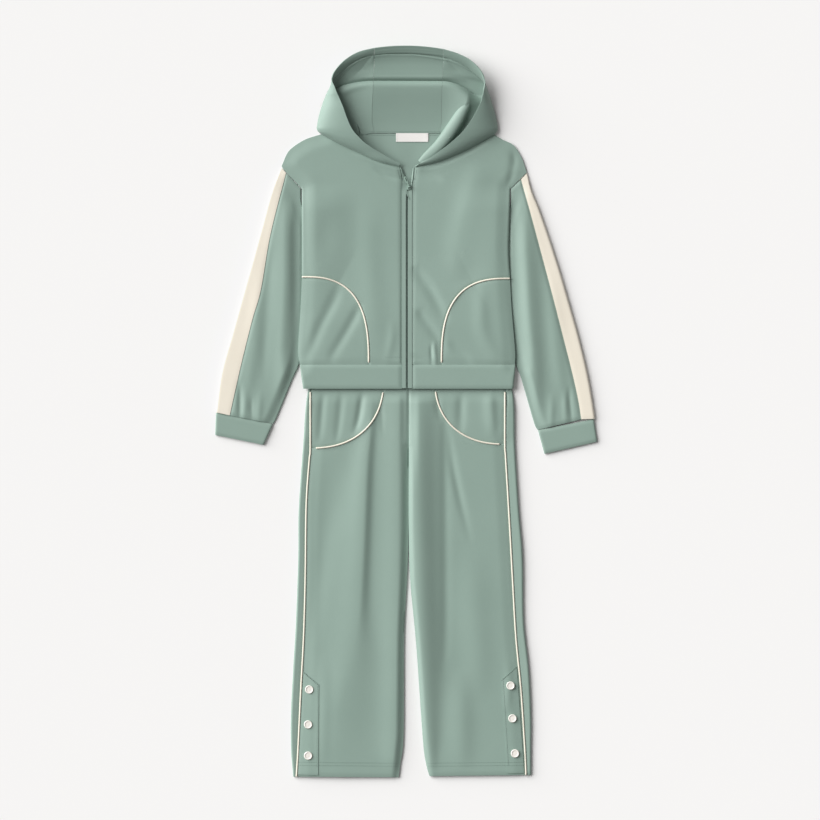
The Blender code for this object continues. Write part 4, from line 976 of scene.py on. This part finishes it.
FRONT_FOLDS = {
    LEFT: [
        [(-116, 232, 8, 8, 0), (-130, 200, 9, 9, -1.8), (-152, 158, 9, 9, -2.0), (-170, 116, 9, 9, -1.6),
         (-180, 88, 8, 8, 0)],
        [(-80, 200, 7, 7, 0), (-90, 176, 8, 8, -1.8), (-108, 143, 8, 8, -1.9), (-130, 106, 8, 8, -1.4),
         (-138, 88, 7, 7, 0)],
        [(-60, 442, 4, 4, 0), (-47, 433, 4, 4, -1.2), (-31, 424, 4, 4, -1.4), (-8, 418, 4, 4, -0.6)],
        [(-138, 362, 20, 20, 0), (-145, 316, 20, 20, -1.0), (-144, 262, 18, 18, 0)],
        [(-62, 400, 20, 20, 0), (-66, 300, 22, 20, 1.2), (-60, 200, 22, 20, 1.4), (-52, 110, 18, 18, 0.4)],
        [(-176, 452, 16, 16, 0), (-170, 390, 14, 18, 0.7), (-170, 310, 12, 16, 0.5), (-172, 240, 10, 12, 0)],
        [(-24, 170, 8, 8, 0), (-26, 130, 8, 8, 0.9), (-34, 94, 7, 7, 0.3)],
        [(-98, 466, 4, 4, 0), (-72, 456, 4, 4, 1.3), (-42, 444, 4, 4, 1.4), (-13, 434, 4, 4, 0.8)],
    ],
    RIGHT: [
        [(14, 264, 9, 9, 0), (24, 246, 10, 9, -2.0), (42, 222, 10, 9, -2.3), (60, 188, 10, 9, -1.8),
         (74, 158, 8, 8, 0)],
        [(20, 186, 8, 8, 0), (29, 171, 9, 8, -2.0), (45, 150, 9, 8, -2.1), (62, 124, 8, 8, -1.4),
         (74, 106, 7, 7, 0)],
        [(76, 126, 7, 7, 0), (88, 114, 7, 7, -1.2), (106, 100, 7, 7, -1.1), (120, 86, 6, 6, 0)],
        [(22, 436, 6, 6, 0), (34, 431, 7, 7, -1.2), (50, 424, 7, 7, -1.2), (66, 414, 6, 6, 0)],
        [(50, 128, 4, 4, 0), (51, 114, 4, 4, 1.5), (53, 98, 4, 4, 1.5), (54, 86, 4, 4, 0.6)],
        [(44, 122, 3, 3, 0), (45, 108, 3, 3, -1.2), (46, 90, 3, 3, -0.6)],
        [(138, 452, 18, 24, 0), (124, 412, 22, 30, 2.4), (104, 346, 22, 32, 2.8), (94, 280, 22, 30, 2.2),
         (94, 236, 18, 24, 0)],
        [(132, 232, 14, 12, 0), (135, 200, 14, 12, 1.5), (138, 146, 14, 12, 1.6), (158, 104, 14, 12, 0.9),
         (166, 88, 12, 10, 0)],
        [(196, 480, 7, 7, 0), (195, 456, 7, 7, -1.5), (190, 428, 7, 7, -1.5), (186, 404, 6, 6, -0.5)],
        [(6, 104, 5, 5, 0), (24, 95, 5, 5, -0.9), (44, 91, 5, 5, 0)],
        [(26, 441, 4, 4, 0), (58, 446, 4, 4, -1.6), (101, 463, 4, 4, -2.0), (131, 479, 4, 4, -1.6),
         (154, 492, 4, 4, 0)],
    ],
}


def jacket_front_z(side):
    edge = POCKET_SIDE[side] + BODY_SIDE[side][1:] + ARMHOLE[side][1:] + SHOULDER[side][1:]

    def height(plan):
        inside = away_from(edge, plan)
        folds = folded(FRONT_FOLDS[side], plan) * smooth(0, FOLD_EASE, inside)
        puff = FRONT_PUFF * smooth(0, PUFF_EASE, inside)
        return jacket_back_z(plan) + LAYER + puff + np.maximum(folds, FRONT_DEEPEST)

    return height


FRONT_FINE = 7
for side in SIDES:
    arc = pocket_arc(JACKET_POCKET[side], side, 10 * FRONT_FINE)
    outer = joined(arc, spaced(BODY_SIDE[side], 6 * FRONT_FINE), spaced(ARMHOLE[side], 2 * FRONT_FINE))
    inner = spaced(ZIP_EDGE[side], len(outer) - 1)
    top = joined(spaced(SHOULDER[side], 4 * FRONT_FINE), spaced(NECK[side], 4 * FRONT_FINE))
    edges = (straight(outer[0], inner[0], len(top) - 1), top, outer, inner)
    cloth_piece(f"jacket_front_{side.name}_cloth", panel(*edges, jacket_front_z(side)), jacket_cloth,
                f"jacket_front_{side.name}")

    half = 5 * FRONT_FINE
    left = spaced(POCKET_SIDE[side][:-1] + [tuple(arc[-1])], half)
    edges = (straight(left[0], arc[0], half), arc[half:][::-1], left, arc[:half + 1])
    cloth_piece(f"jacket_pocket_{side.name}_cloth", panel(*edges, jacket_front_z(side)), jacket_cloth,
                f"jacket_pocket_{side.name}")

    panels = named(f"jacket_front_{side.name}_cloth", f"jacket_pocket_{side.name}_cloth")
    piping(f"jacket_pocket_piping_{side.name}_cord", spaced(arc, 110), panels,
           f"jacket_pocket_piping_{side.name}")

# Jacket topstitching
# One row of stitches runs up each front beside the zip, and a short row crosses above the left hem band.
TOPSTITCHES = {
    LEFT: [[(-10.6, 90), (-10.6, 395), (-12, 420), (-15, 434)], [(-37, 98.7), (-9.5, 98.7)]],
    RIGHT: [[(14, 90), (14.2, 390), (17, 418), (19, 434)]],
}
for side in SIDES:
    front = named(f"jacket_front_{side.name}_cloth")
    stitched(f"front_stitches_{side.name}", [on_top(spaced(line, 150), front) for line in TOPSTITCHES[side]])

# Sleeves
# Each sleeve is a tube of knit with a cream panel let in down its outer edge, gathered a little into a
# plain cuff. Its inner edge is tucked under the jacket's side.
SLEEVE_FLAT = 2.65
SLEEVE_RISE = 3.6
SLEEVE_DEEPEST = -2.0
SHOULDER_EASE = 24
ARMHOLE_EASE = (6, 40)
STRIPE_WRAP = 22
STRIPE_DIP = 0.35
CUFF_Z = 4.6
CUFF_ROWS = 18
SLEEVE_ROWS = 120
SLEEVE_OUTER = {
    LEFT: [(-343, 0), (-333, 72), (-315, 137), (-297, 202), (-279, 266), (-261, 331),
           (-243, 396), (-225, 440)],
    RIGHT: [(340, -12), (333, 34), (324, 80), (310, 137), (292, 201), (271, 272), (242, 358), (226, 398),
            (217.8, 430)],
}
STRIPE_EDGE = {
    LEFT: [(-317, -6), (-297, 83), (-276, 167), (-261, 220), (-244, 318), (-216, 430)],
    RIGHT: [(315, -13), (310, 20), (299, 70), (281, 141), (262, 215), (242, 290), (224.5, 355), (207, 418)],
}
SLEEVE_INNER = {
    LEFT: [(-239, -21), (-232, -8), (-205, 58), (-193, 85), (-187, 120), (-178, 175), (-168, 230),
           (-164, 285), (-170, 325), (-182, 355), (-189, 378), (-189.5, 402)],
    RIGHT: [(237, -32), (230, -18), (208, 58), (198, 85), (192, 120), (181, 175), (170, 230),
            (165, 285), (171, 325), (182, 355), (189, 378), (189.5, 401.5)],
}
CUFF_END = {LEFT: [(-343.5, -41), (-256, -59)], RIGHT: [(344, -53), (249, -75)]}
CUFF_START = {LEFT: [(-342, -1.1), (-239.5, -21.9)], RIGHT: [(338, -13), (237.5, -32.9)]}
SLEEVE_FOLDS = {
    LEFT: [
        [(-202, 384, 14, 9, 0), (-210, 330, 24, 10, 3.6), (-210, 220, 26, 10, 4.6), (-209, 120, 26, 10, 4.6),
         (-214, 60, 20, 10, 3.6), (-224, 0, 12, 8, 0)],
        [(-240, 300, 9, 9, 0), (-246, 250, 10, 10, -0.8), (-252, 170, 10, 10, -0.8), (-255, 110, 8, 8, -0.7),
         (-256, 50, 6, 6, 0)],
        [(-262, 260, 12, 14, 0), (-270, 150, 12, 14, 1.4), (-280, 70, 12, 12, 1.2), (-286, 30, 8, 8, 0)],
        [(-300, 60, 4, 4, 0), (-299, 34, 4, 4, -1.6), (-299, 2, 4, 4, -1.6), (-299, -8, 4, 4, -0.8)],
        [(-278, 30, 3, 3, 0), (-278, 8, 3, 3, -1.1), (-277, -12, 3, 3, -0.6)],
        [(-288, 44, 5, 5, 0), (-289, 16, 5, 5, 1.2), (-290, -8, 5, 5, 0.8)],
        [(-262, 40, 6, 6, 0), (-264, 10, 6, 6, 1.1), (-265, -14, 5, 5, 0.8)],
    ],
    RIGHT: [
        [(204, 372, 14, 16, 0), (213, 311, 18, 18, 3.6), (218, 223, 18, 19, 4.8), (222, 151, 18, 19, 5),
         (229, 80, 18, 16, 4.6), (232, 30, 12, 14, 3), (236, -14, 8, 10, 0)],
        [(256, 260, 12, 14, 0), (266, 160, 12, 14, 1.6), (276, 70, 12, 12, 1.2), (284, 26, 8, 8, 0)],
        [(294, 48, 4, 4, 0), (294, 26, 4, 4, -1.5), (297, -6, 4, 4, -1.3), (298, -16, 4, 4, -0.6)],
        [(285, 40, 5, 5, 0), (286, 14, 5, 5, 1.2), (287, -14, 5, 5, 0.8)],
        [(262, 36, 6, 6, 0), (262, 6, 6, 6, 1.2), (261, -22, 5, 5, 0.8)],
    ],
}


def sleeve_z(side):
    body = POCKET_SIDE[side] + BODY_SIDE[side][1:]

    def height(plan):
        x, y = plan[..., 0], plan[..., 1]
        clear = (0.3 + 0.7 * smooth(4, 34, away_from(body, plan))) * smooth(-1, 1, side.sign * x - 189)
        near_top = smooth(385, 425, y)
        from_shoulder = away_from(SHOULDER[side], plan)
        clear = clear * (1 - near_top) + near_top * (0.25 + 0.75 * smooth(0, SHOULDER_EASE, from_shoulder))
        clear = clear * (1 - (1 - smooth(2, 20, away_from(SLEEVE_INNER[side], plan))) * smooth(395, 365, y))
        near_seam = smooth(*ARMHOLE_EASE, away_from(ARMHOLE[side], plan))
        folds = folded(SLEEVE_FOLDS[side], plan) * clear * (0.3 + 0.7 * near_seam)
        rise = SLEEVE_RISE * clear * (0.45 + 0.55 * near_seam)
        return SLEEVE_FLAT + rise + np.maximum(folds, SLEEVE_DEEPEST)

    return height


def cuff_z(plan):
    return np.full(plan.shape[:-1], CUFF_Z)


for side in SIDES:
    outer = spaced(SLEEVE_OUTER[side], SLEEVE_ROWS)
    stripe = spaced(STRIPE_EDGE[side], SLEEVE_ROWS)
    inner = spaced(SLEEVE_INNER[side], SLEEVE_ROWS)
    out = (outer - stripe) / np.linalg.norm(outer - stripe, axis=1)[:, None]
    gap = out * SEAM / 2
    behind = outer - out * STRIPE_WRAP
    grid = wrapped(stripe + gap, outer, behind + gap, sleeve_z(side), on_surface, (9, 8))
    cloth_piece(f"sleeve_stripe_{side.name}_cloth", rolled(grid, STRIPE_DIP), cream_cloth,
                f"sleeve_stripe_{side.name}")
    grid = wrapped(stripe - gap, inner, behind - gap, sleeve_z(side), on_surface, (36, 12))
    cloth_piece(f"sleeve_{side.name}_cloth", rolled(grid), jacket_cloth,
                f"sleeve_{side.name}")

    start, end = np.array(CUFF_START[side], float), np.array(CUFF_END[side], float)
    outer_edge, inner_edge = (straight(start[k], end[k], CUFF_ROWS) for k in (0, 1))
    middle = 0.5 * (outer_edge + inner_edge)
    one = wrapped(middle, outer_edge, middle, cuff_z, on_surface, (16, 8))
    other = wrapped(middle, inner_edge, middle, cuff_z, on_surface, (16, 8))
    cloth_piece(f"cuff_{side.name}_cloth", rolled(np.concatenate([one[:, ::-1], other[:, 1:]], axis=1)),
                jacket_cloth, f"cuff_{side.name}")

# Hem band
# One plain doubled strip round the jacket's hem, open at the zip, with a row of stitches just above it
# beside the zip.
BAND_ROWS = 16
BAND_MIDDLE = 3.0
band_ends = ((ZIP_LEFT, ZIP_LEFT), (ZIP_RIGHT, ZIP_RIGHT), (-185, -191), (193, 197))
left_end, right_end, left_edge, right_edge = (
    straight((low, HEM_BOTTOM), (high, HEM_SEAM - SEAM / 2), BAND_ROWS) for low, high in band_ends)
middle = np.column_stack([np.full(BAND_ROWS + 1, BAND_MIDDLE), left_end[:, 1]])
one = wrapped(left_end, left_edge, middle, jacket_front_z(LEFT), jacket_back_z, (44, 24))
other = wrapped(right_end, right_edge, middle, jacket_front_z(RIGHT), jacket_back_z, (44, 24))
cloth_piece("hem_band_cloth", rolled(np.concatenate([one, other[:, ::-1][:, 1:]], axis=1)), jacket_cloth,
            "hem_band")

# Hood
# A three-panel hood lies opened out behind the neck. Its sides turn over at the outer edge, the back
# folds crosswise into a lip, and the rim has a wide stitched hem.
HOOD_FINE = 8
HOOD_OVER = 14
HOOD_DROP = 12
HOOD_ALONG = 20
HOOD_ACROSS = 44
HOOD_CROWN = 5
HOOD_BROW = 12
HOOD_LEVELLING = 0.62
FRONT_LEAN = 0.8
HoodSection = namedtuple("HoodSection", "rim fold belly seam gully", defaults=(None,))
HOOD_SECTIONS = {
    LEFT: [
        HoodSection((-57, 653, 30), (-57, 649, 26.5), (-57, 644, 24), (-57, 640, 21.5)),
        HoodSection((-85, 646, 30), (-80, 637, 24), (-68, 632, 19), (-57, 628, 17)),
        HoodSection((-109, 632, 30), (-101, 621, 19), (-80, 617, 14), (-58, 617, 15)),
        HoodSection((-127, 613, 30), (-120, 604, 13), (-92, 606, 12), (-58, 607, 14)),
        HoodSection((-133, 598, 29), (-133, 590, 8), (-104, 597, 9), (-59, 600.5, 13)),
        HoodSection((-128, 584, 29), (-139, 579, 6.5), (-113, 586, 4), (-59, 594, 6)),
        HoodSection((-124, 573, 29), (-143, 571, 6.5), (-113, 586.5, 10), (-59, 594.6, 13)),
        HoodSection((-121, 567, 28.5), (-145, 565, 6.3), (-108, 578, 13), (-59, 588, 17)),
        HoodSection((-118, 560, 28), (-148, 558, 6), (-112, 563, 8), (-59.5, 576, 15.5)),
        HoodSection((-112, 545, 28), (-153, 543, 6), (-108, 545, 4), (-61, 546, 8.5)),
        HoodSection((-106, 528, 27), (-157, 528, 6), (-112, 526, 2.5), (-61, 521, 4)),
        HoodSection((-100, 514, 26), (-159, 516, 6), (-120, 510, 1.5), (-61, 502, 2)),
        HoodSection((-94, 504, 25), (-160, 510, 6), (-145, 506, 0.8), (-105, 501.5, 1.5)),
        HoodSection((-86, 495, 24), (-158, 505, 5.5), (-154, 503, 2.2), (-140, 501, 2)),
    ],
    RIGHT: [
        HoodSection((67, 651, 30), (67, 647, 26.5), (67, 643, 24), (67, 639, 21.5)),
        HoodSection((93, 643, 30), (89, 635, 24), (78, 630, 19), (67, 627, 17)),
        HoodSection((116, 631, 30), (108, 620, 19), (90, 616, 14), (66, 616, 15)),
        HoodSection((134, 613, 30), (127, 602, 13), (100, 605, 12), (66, 607, 14)),
        HoodSection((141, 596, 29), (142, 589, 8), (110, 596, 9), (65, 600, 13)),
        HoodSection((140, 582, 29), (147, 577, 6.5), (112, 578, 4), (65, 593.4, 6), (136, 560, 2)),
        HoodSection((138, 571, 29), (151, 567, 6.5), (113, 576, 10.5), (65, 594, 13), (135, 557, 3)),
        HoodSection((136.5, 565, 28.5), (152.5, 561, 6.3), (112, 568, 16.5), (65, 587.5, 17),
                    (134, 552, 2.5)),
        HoodSection((135, 558, 28), (154, 555, 6), (110, 556, 18), (64.5, 576, 15.5), (131, 548, 2)),
        HoodSection((129, 545, 28), (158, 542, 6), (104, 543, 15), (64, 546, 8.5), (127, 541, 1)),
        HoodSection((121, 530, 27), (161, 529, 6), (97, 529, 11), (64, 521, 4), (121, 530, 1)),
        HoodSection((113, 518, 26), (163, 518, 6), (93, 515, 5), (64, 502, 2), (114, 518, 0.6)),
        HoodSection((105, 507, 25), (164, 510, 6), (146, 507, 0.8), (108, 501.5, 1.5)),
        HoodSection((97, 498, 24), (163, 505, 5.5), (158, 503, 2.2), (144, 501, 2)),
    ],
}
NECK_SECTIONS = 2
LAST_UNDER = 5
HOOD_FRONT_RIM = {
    LEFT: [(-77, 486, 22), (-63, 476, 19.5), (-48, 467, 16.5), (-30, 457, 13.5), (-11, 447.5, 10)],
    RIGHT: [(88, 490, 22), (76, 480, 19.5), (62, 470, 16.5), (46, 459, 13.5), (29, 449.5, 10)],
}
RIM_HEM = {LEFT: 14.5, RIGHT: 18}
HEM_PUFF = 1.5
HEM_GROOVE = -1.6
HEM_EASE = 0.7


def bend(start, control, end, count):
    """Rows of count + 1 points of quadratic curves, one curve for each row of the arrays."""
    t = np.linspace(0, 1, count + 1)[None, :, None]
    return (1 - t) ** 2 * start[:, None] + 2 * t * (1 - t) * control[:, None] + t * t * end[:, None]


def hood_lines(side):
    """The rim, brow, fold, turn, belly, level and seam of every row of a hood side."""
    sections = []
    for section in HOOD_SECTIONS[side]:
        rim, fold, belly, seam = (np.array(p, float) for p in section[:4])
        share = min(1.0, max(0.0, side.sign * (fold[0] - rim[0])) / HOOD_BROW)
        shoulder = np.append(fold[:2], rim[2]) * share + 0.5 * (rim + fold) * (1 - share)
        brow = HOOD_LEVELLING * shoulder + (1 - HOOD_LEVELLING) * 0.5 * (rim + fold)
        turn = np.append(fold[:2], min(fold[2], belly[2])) * share + 0.5 * (fold + belly) * (1 - share)
        steep = 0.5
        if section.gully is not None:
            turn = np.array(section.gully, float)
            steep = 0.1
        level = np.array([0.5 * (belly[0] + seam[0]), seam[1], belly[2] * steep + seam[2] * (1 - steep)])
        sections.append([rim, brow, fold, turn, belly, level, seam])
    lines = []
    for k, line in enumerate(zip(*sections)):
        if k < 3:
            lines.append(curved(line, HOOD_FINE))
        else:
            under, over = line[:LAST_UNDER + 1], line[LAST_UNDER + 1:]
            edge = straight(under[-1], over[0], HOOD_FINE)
            lines.append(joined(curved(under, HOOD_FINE), edge, curved(over, HOOD_FINE)))
    return lines


def hood_side(side):
    front_z = jacket_front_z(side)
    rim, brow, fold, turn, belly, level, seam = hood_lines(side)
    over = bend(rim, brow, fold, HOOD_OVER)
    drop = bend(fold, turn, belly, HOOD_DROP)
    along = bend(belly, level, seam, HOOD_ALONG)
    back = np.concatenate([over, drop[:, 1:], along[:, 1:]], axis=1)

    low_rim = curved([rim[-1 - HOOD_FINE], rim[-1]] + HOOD_FRONT_RIM[side], HOOD_FINE)[HOOD_FINE:][HOOD_FINE:]
    neck = spaced(NECK[side], len(low_rim) - 1)
    foot = np.column_stack([neck[:, 0], neck[:, 1] + 2 * SEAM, front_z(neck) + 0.2])
    lean = low_rim + (foot - low_rim) * FRONT_LEAN
    over = bend(low_rim, np.column_stack([lean[:, :2], low_rim[:, 2]]), foot, HOOD_OVER)
    front = np.concatenate([over, np.repeat(foot[:, None], HOOD_DROP + HOOD_ALONG, axis=1)], axis=1)
    grid = np.concatenate([back, front])
    missing = np.zeros((grid.shape[0] - 1, grid.shape[1] - 1), bool)
    missing[len(back):, HOOD_OVER:] = True
    seamed = (len(HOOD_SECTIONS[side]) - NECK_SECTIONS - 1) * HOOD_FINE + 1
    return grid, missing, np.concatenate([back[0, :-1], back[:seamed, -1]])


def hemmed(grid, reach):
    """Shape the rim's turned hem: a soft roll, then the sunk line of its stitches."""
    from_rim = unrolled(grid)[0]
    roll = HEM_PUFF * np.sin(np.pi * np.clip(from_rim / reach, 0, 1))
    groove = HEM_GROOVE * np.exp(-(((from_rim - reach) / 1.3) ** 2))
    ease = HEM_EASE * np.exp(-(((from_rim - reach - 3.2) / 1.6) ** 2))
    shaped = grid.copy()
    shaped[..., 2] += smooth(566, 600, grid[..., 1]) * (roll + groove + ease)
    return shaped


seams = {}
for side in SIDES:
    grid, missing, seams[side] = hood_side(side)
    cloth_piece(f"hood_side_{side.name}_cloth", hemmed(grid, RIM_HEM[side]), jacket_cloth,
                f"hood_side_{side.name}", missing=missing)

u = np.linspace(0, 1, HOOD_ACROSS + 1)[None, :, None]
gap = np.array([SEAM, 0, 0])
grid = (1 - u) * (seams[LEFT] + gap)[:, None] + u * (seams[RIGHT] - gap)[:, None]
grid[..., 1] += (4 * u * (1 - u))[..., 0] * HOOD_CROWN * smooth(600, 650, grid[..., 1])
reach = between(RIM_HEM[LEFT], RIM_HEM[RIGHT], u[0, :, 0])[:, None]
grid = hemmed(grid.transpose(1, 0, 2), reach).transpose(1, 0, 2)
cloth_piece("hood_centre_cloth", grid, jacket_cloth, "hood_centre")

RIM_STITCHES = [(-129, 588), (-114, 603), (-86, 630), (-60, 638), (0, 641), (66, 632), (96, 622), (118, 610),
                (137, 597)]
hood_pieces = named("hood_side_left_cloth", "hood_side_right_cloth", "hood_centre_cloth")
stitched("hood_rim_stitches", [on_top(spaced(RIM_STITCHES, 160), hood_pieces)])
neck_pieces = hood_pieces + named("jacket_back_cloth")
NECK_STITCHES = [(-66, 60, 504.2), (-66, 60, 497.6)]
stitched("back_neck_stitches", [on_top(straight((x0, y), (x1, y), 80), neck_pieces)
                                for x0, x1, y in NECK_STITCHES])

# Hood's inner roll
# Below the back neck seam, the slack of the hood's right side goes on as a soft roll beside the rim, down to
# the front neck. It is the same panel of cloth.
ROLL = [(113, 566, 12, 7), (109, 554, 16.4, 9), (102, 541, 16.8, 10.5), (93, 525, 15.8, 11.5),
        (82, 508, 14.2, 11.5),
        (70, 491, 12.4, 11), (57, 476, 10.4, 10), (45, 465, 8.8, 9), (34, 456, 7.5, 7), (25, 449, 6, 4)]
ROLL_ROWS = 70
ROLL_COLUMNS = 22
ROLL_FOOT = 2.6
ROLL_SHAPE = 0.32
ROLL_TILT = 0.07

line = spaced(ROLL, ROLL_ROWS)
across = sideways(line)
u = np.linspace(-1, 1, ROLL_COLUMNS + 1)[None, :]
plan = line[:, None, :2] + across[:, None] * (line[:, 3:4] * u)[..., None]
z = ROLL_FOOT + (line[:, 2:3] - ROLL_FOOT) * (1 - u**2) ** ROLL_SHAPE * (1 + ROLL_TILT * u)
cloth_piece("hood_roll_cloth", np.dstack([plan, z]), jacket_cloth, None)

# Zip
# A moulded zip runs up the front: woven tapes, two rows of teeth that part above the slider, and a
# slider with its pull tab on a bar.
ZIP_INNER = {
    LEFT: [(-0.4, 43), (-0.4, 250), (-0.2, 388), (2.4, 400), (0, 415), (-5, 430), (-9, 440)],
    RIGHT: [(3.2, 43), (3.2, 250), (3.6, 388), (7.6, 400), (9.2, 415), (11, 430), (12.6, 440)],
}
TAPE_THICK = 1.2
TAPE_ROWS = 150
TRIM_GREEN = (0.230, 0.325, 0.275, 1)
TRIM_DARK = (0.110, 0.160, 0.135, 1)
TAPE_WALE = 0.0009
TAPE_COURSE = 0.0007
RESIN_CLOUD = 500.0
CHAIN_X = 1.4
CHAIN_FOOT = 43
TOOTH_OUT = 0.55
NECK_POINT = 440
CHAIN_TOP = 392
TOOTH_SPACING = 1.9
TOOTH_SIZE = {"Spacing": TOOTH_SPACING, "Width": 2.1, "Height": 1.5, "Length": 1.15}


def tape_finish():
    """Woven tape: fine crossing ribs."""
    finish, shader, maths = new_finish("zip_tape")
    over, down = maths.place().parts()
    ribs = (over * (2 * math.pi / TAPE_WALE)).sine() * 0.5 + (down * (2 * math.pi / TAPE_COURSE)).sine() * 0.5
    feed(finish, shader, Base_Color=maths.mix(ribs * 0.5 + 0.5, GREEN, GREEN_LIGHT),
         Normal=maths.bump(ribs, 0.0001, 0.5))
    shader.inputs["Roughness"].default_value = 0.6
    return finish


def moulded_finish(name, colour, roughness):
    """Dyed resin or enamel, with faint unevenness."""
    finish, shader, maths = new_finish(name)
    cloud = maths.noise(maths.place(), RESIN_CLOUD)
    feed(finish, shader, Base_Color=maths.mix(cloud, colour, shaded(colour, 1.12)),
         Roughness=roughness + cloud * 0.08)
    return finish


tape = tape_finish()
tooth_finish = moulded_finish("zip_resin", TRIM_DARK, 0.35)
enamel = moulded_finish("zip_enamel", TRIM_GREEN, 0.28)
tooth_tree = row_tree("teeth", "GeometryNodeMeshCube", {"Size": (1, 1, 1)}, 1)

teeth = []
for side in SIDES:
    outer_line = [(ZIP_EDGE[side][0][0], CHAIN_FOOT)] + ZIP_EDGE[side][1:]
    outer = spaced([(x, min(y, NECK_POINT)) for x, y in outer_line], TAPE_ROWS)
    outer[:, 0] -= side.sign * (SEAM + 1.5 * smooth(395, 415, outer[:, 1]))
    inner = spaced(ZIP_INNER[side], TAPE_ROWS)
    u = np.linspace(0, 1, 7)[None, :, None]
    plan = outer[:, None] * (1 - u) + inner[:, None] * u
    z = jacket_front_z(side)(plan) - 0.8 * smooth(392, 410, plan[..., 1]) * 2 * u[..., 0]
    grid = np.dstack([plan, z])
    cloth_piece(f"zip_tape_{side.name}_cloth", grid, tape, f"zip_tape_{side.name}",
                thickness=TAPE_THICK)
    open_row = grid[grid[:, -1, 1] > CHAIN_TOP][:, -1] + np.array([-side.sign * 0.5, 0, 0.35])
    shift = 0.0 if side is LEFT else TOOTH_SPACING / 2
    tooth_x = CHAIN_X + side.sign * TOOTH_OUT
    closed = straight((tooth_x, CHAIN_FOOT + 0.5 + shift), (tooth_x, CHAIN_TOP), 200)
    closed = np.column_stack([closed, jacket_front_z(LEFT)(closed) + 0.25])
    teeth += [closed, open_row]

chain = beaded("zip_teeth", tooth_tree, teeth, TOOTH_SIZE, tooth_finish)
dress(chain, "zip_chain")

for name in ("slider", "pull_tab"):
    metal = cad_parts[name]
    metal.data.materials.clear()
    metal.data.materials.append(enamel)

# Neck label
# A plain satin label, sewn on over the back neck seam by a short row of stitches near each end.
LABEL = (11, 494, 58, 15.5)
LABEL_THICK = 0.7
LABEL_MARGIN = 2.2
TWILL = 0.0006
LABEL_WHITE = (0.80, 0.775, 0.745, 1)
LABEL_PALE = (0.87, 0.85, 0.82, 1)


def satin_finish():
    finish, shader, maths = new_finish("label_satin")
    over, down = maths.place().parts()
    twill = ((over + down * 0.6) * (2 * math.pi / TWILL)).sine()
    feed(finish, shader, Base_Color=maths.mix(twill * 0.5 + 0.5, LABEL_WHITE, LABEL_PALE),
         Normal=maths.bump(twill, 0.00006, 0.5))
    shader.inputs["Roughness"].default_value = 0.35
    return finish


x, y, width, tall = LABEL
west, east = x - width / 2, x + width / 2
foot, head = y - tall / 2, y + tall / 2
plan = coons(straight((west, foot), (east, foot), 40), straight((west, head), (east, head), 40),
             straight((west, foot), (west, head), 12), straight((east, foot), (east, head), 12))
under = trees_of(named("hood_centre_cloth", "jacket_back_cloth"))
z = top_of(plan.reshape(-1, 2), under).reshape(plan.shape[:2])
z = np.maximum(z, z.mean()) + LABEL_THICK / 2 + 0.5
label = cloth_piece("neck_label_satin", np.dstack([plan, z]), satin_finish(), "neck_label",
                    thickness=LABEL_THICK)
ends = [straight((end, foot + 2), (end, head - 2), 10) for end in (west + LABEL_MARGIN, east - LABEL_MARGIN)]
stitched("label_stitches", [on_top(line, [label]) for line in ends],
         thread_finish("ivory_thread", LABEL_WHITE))
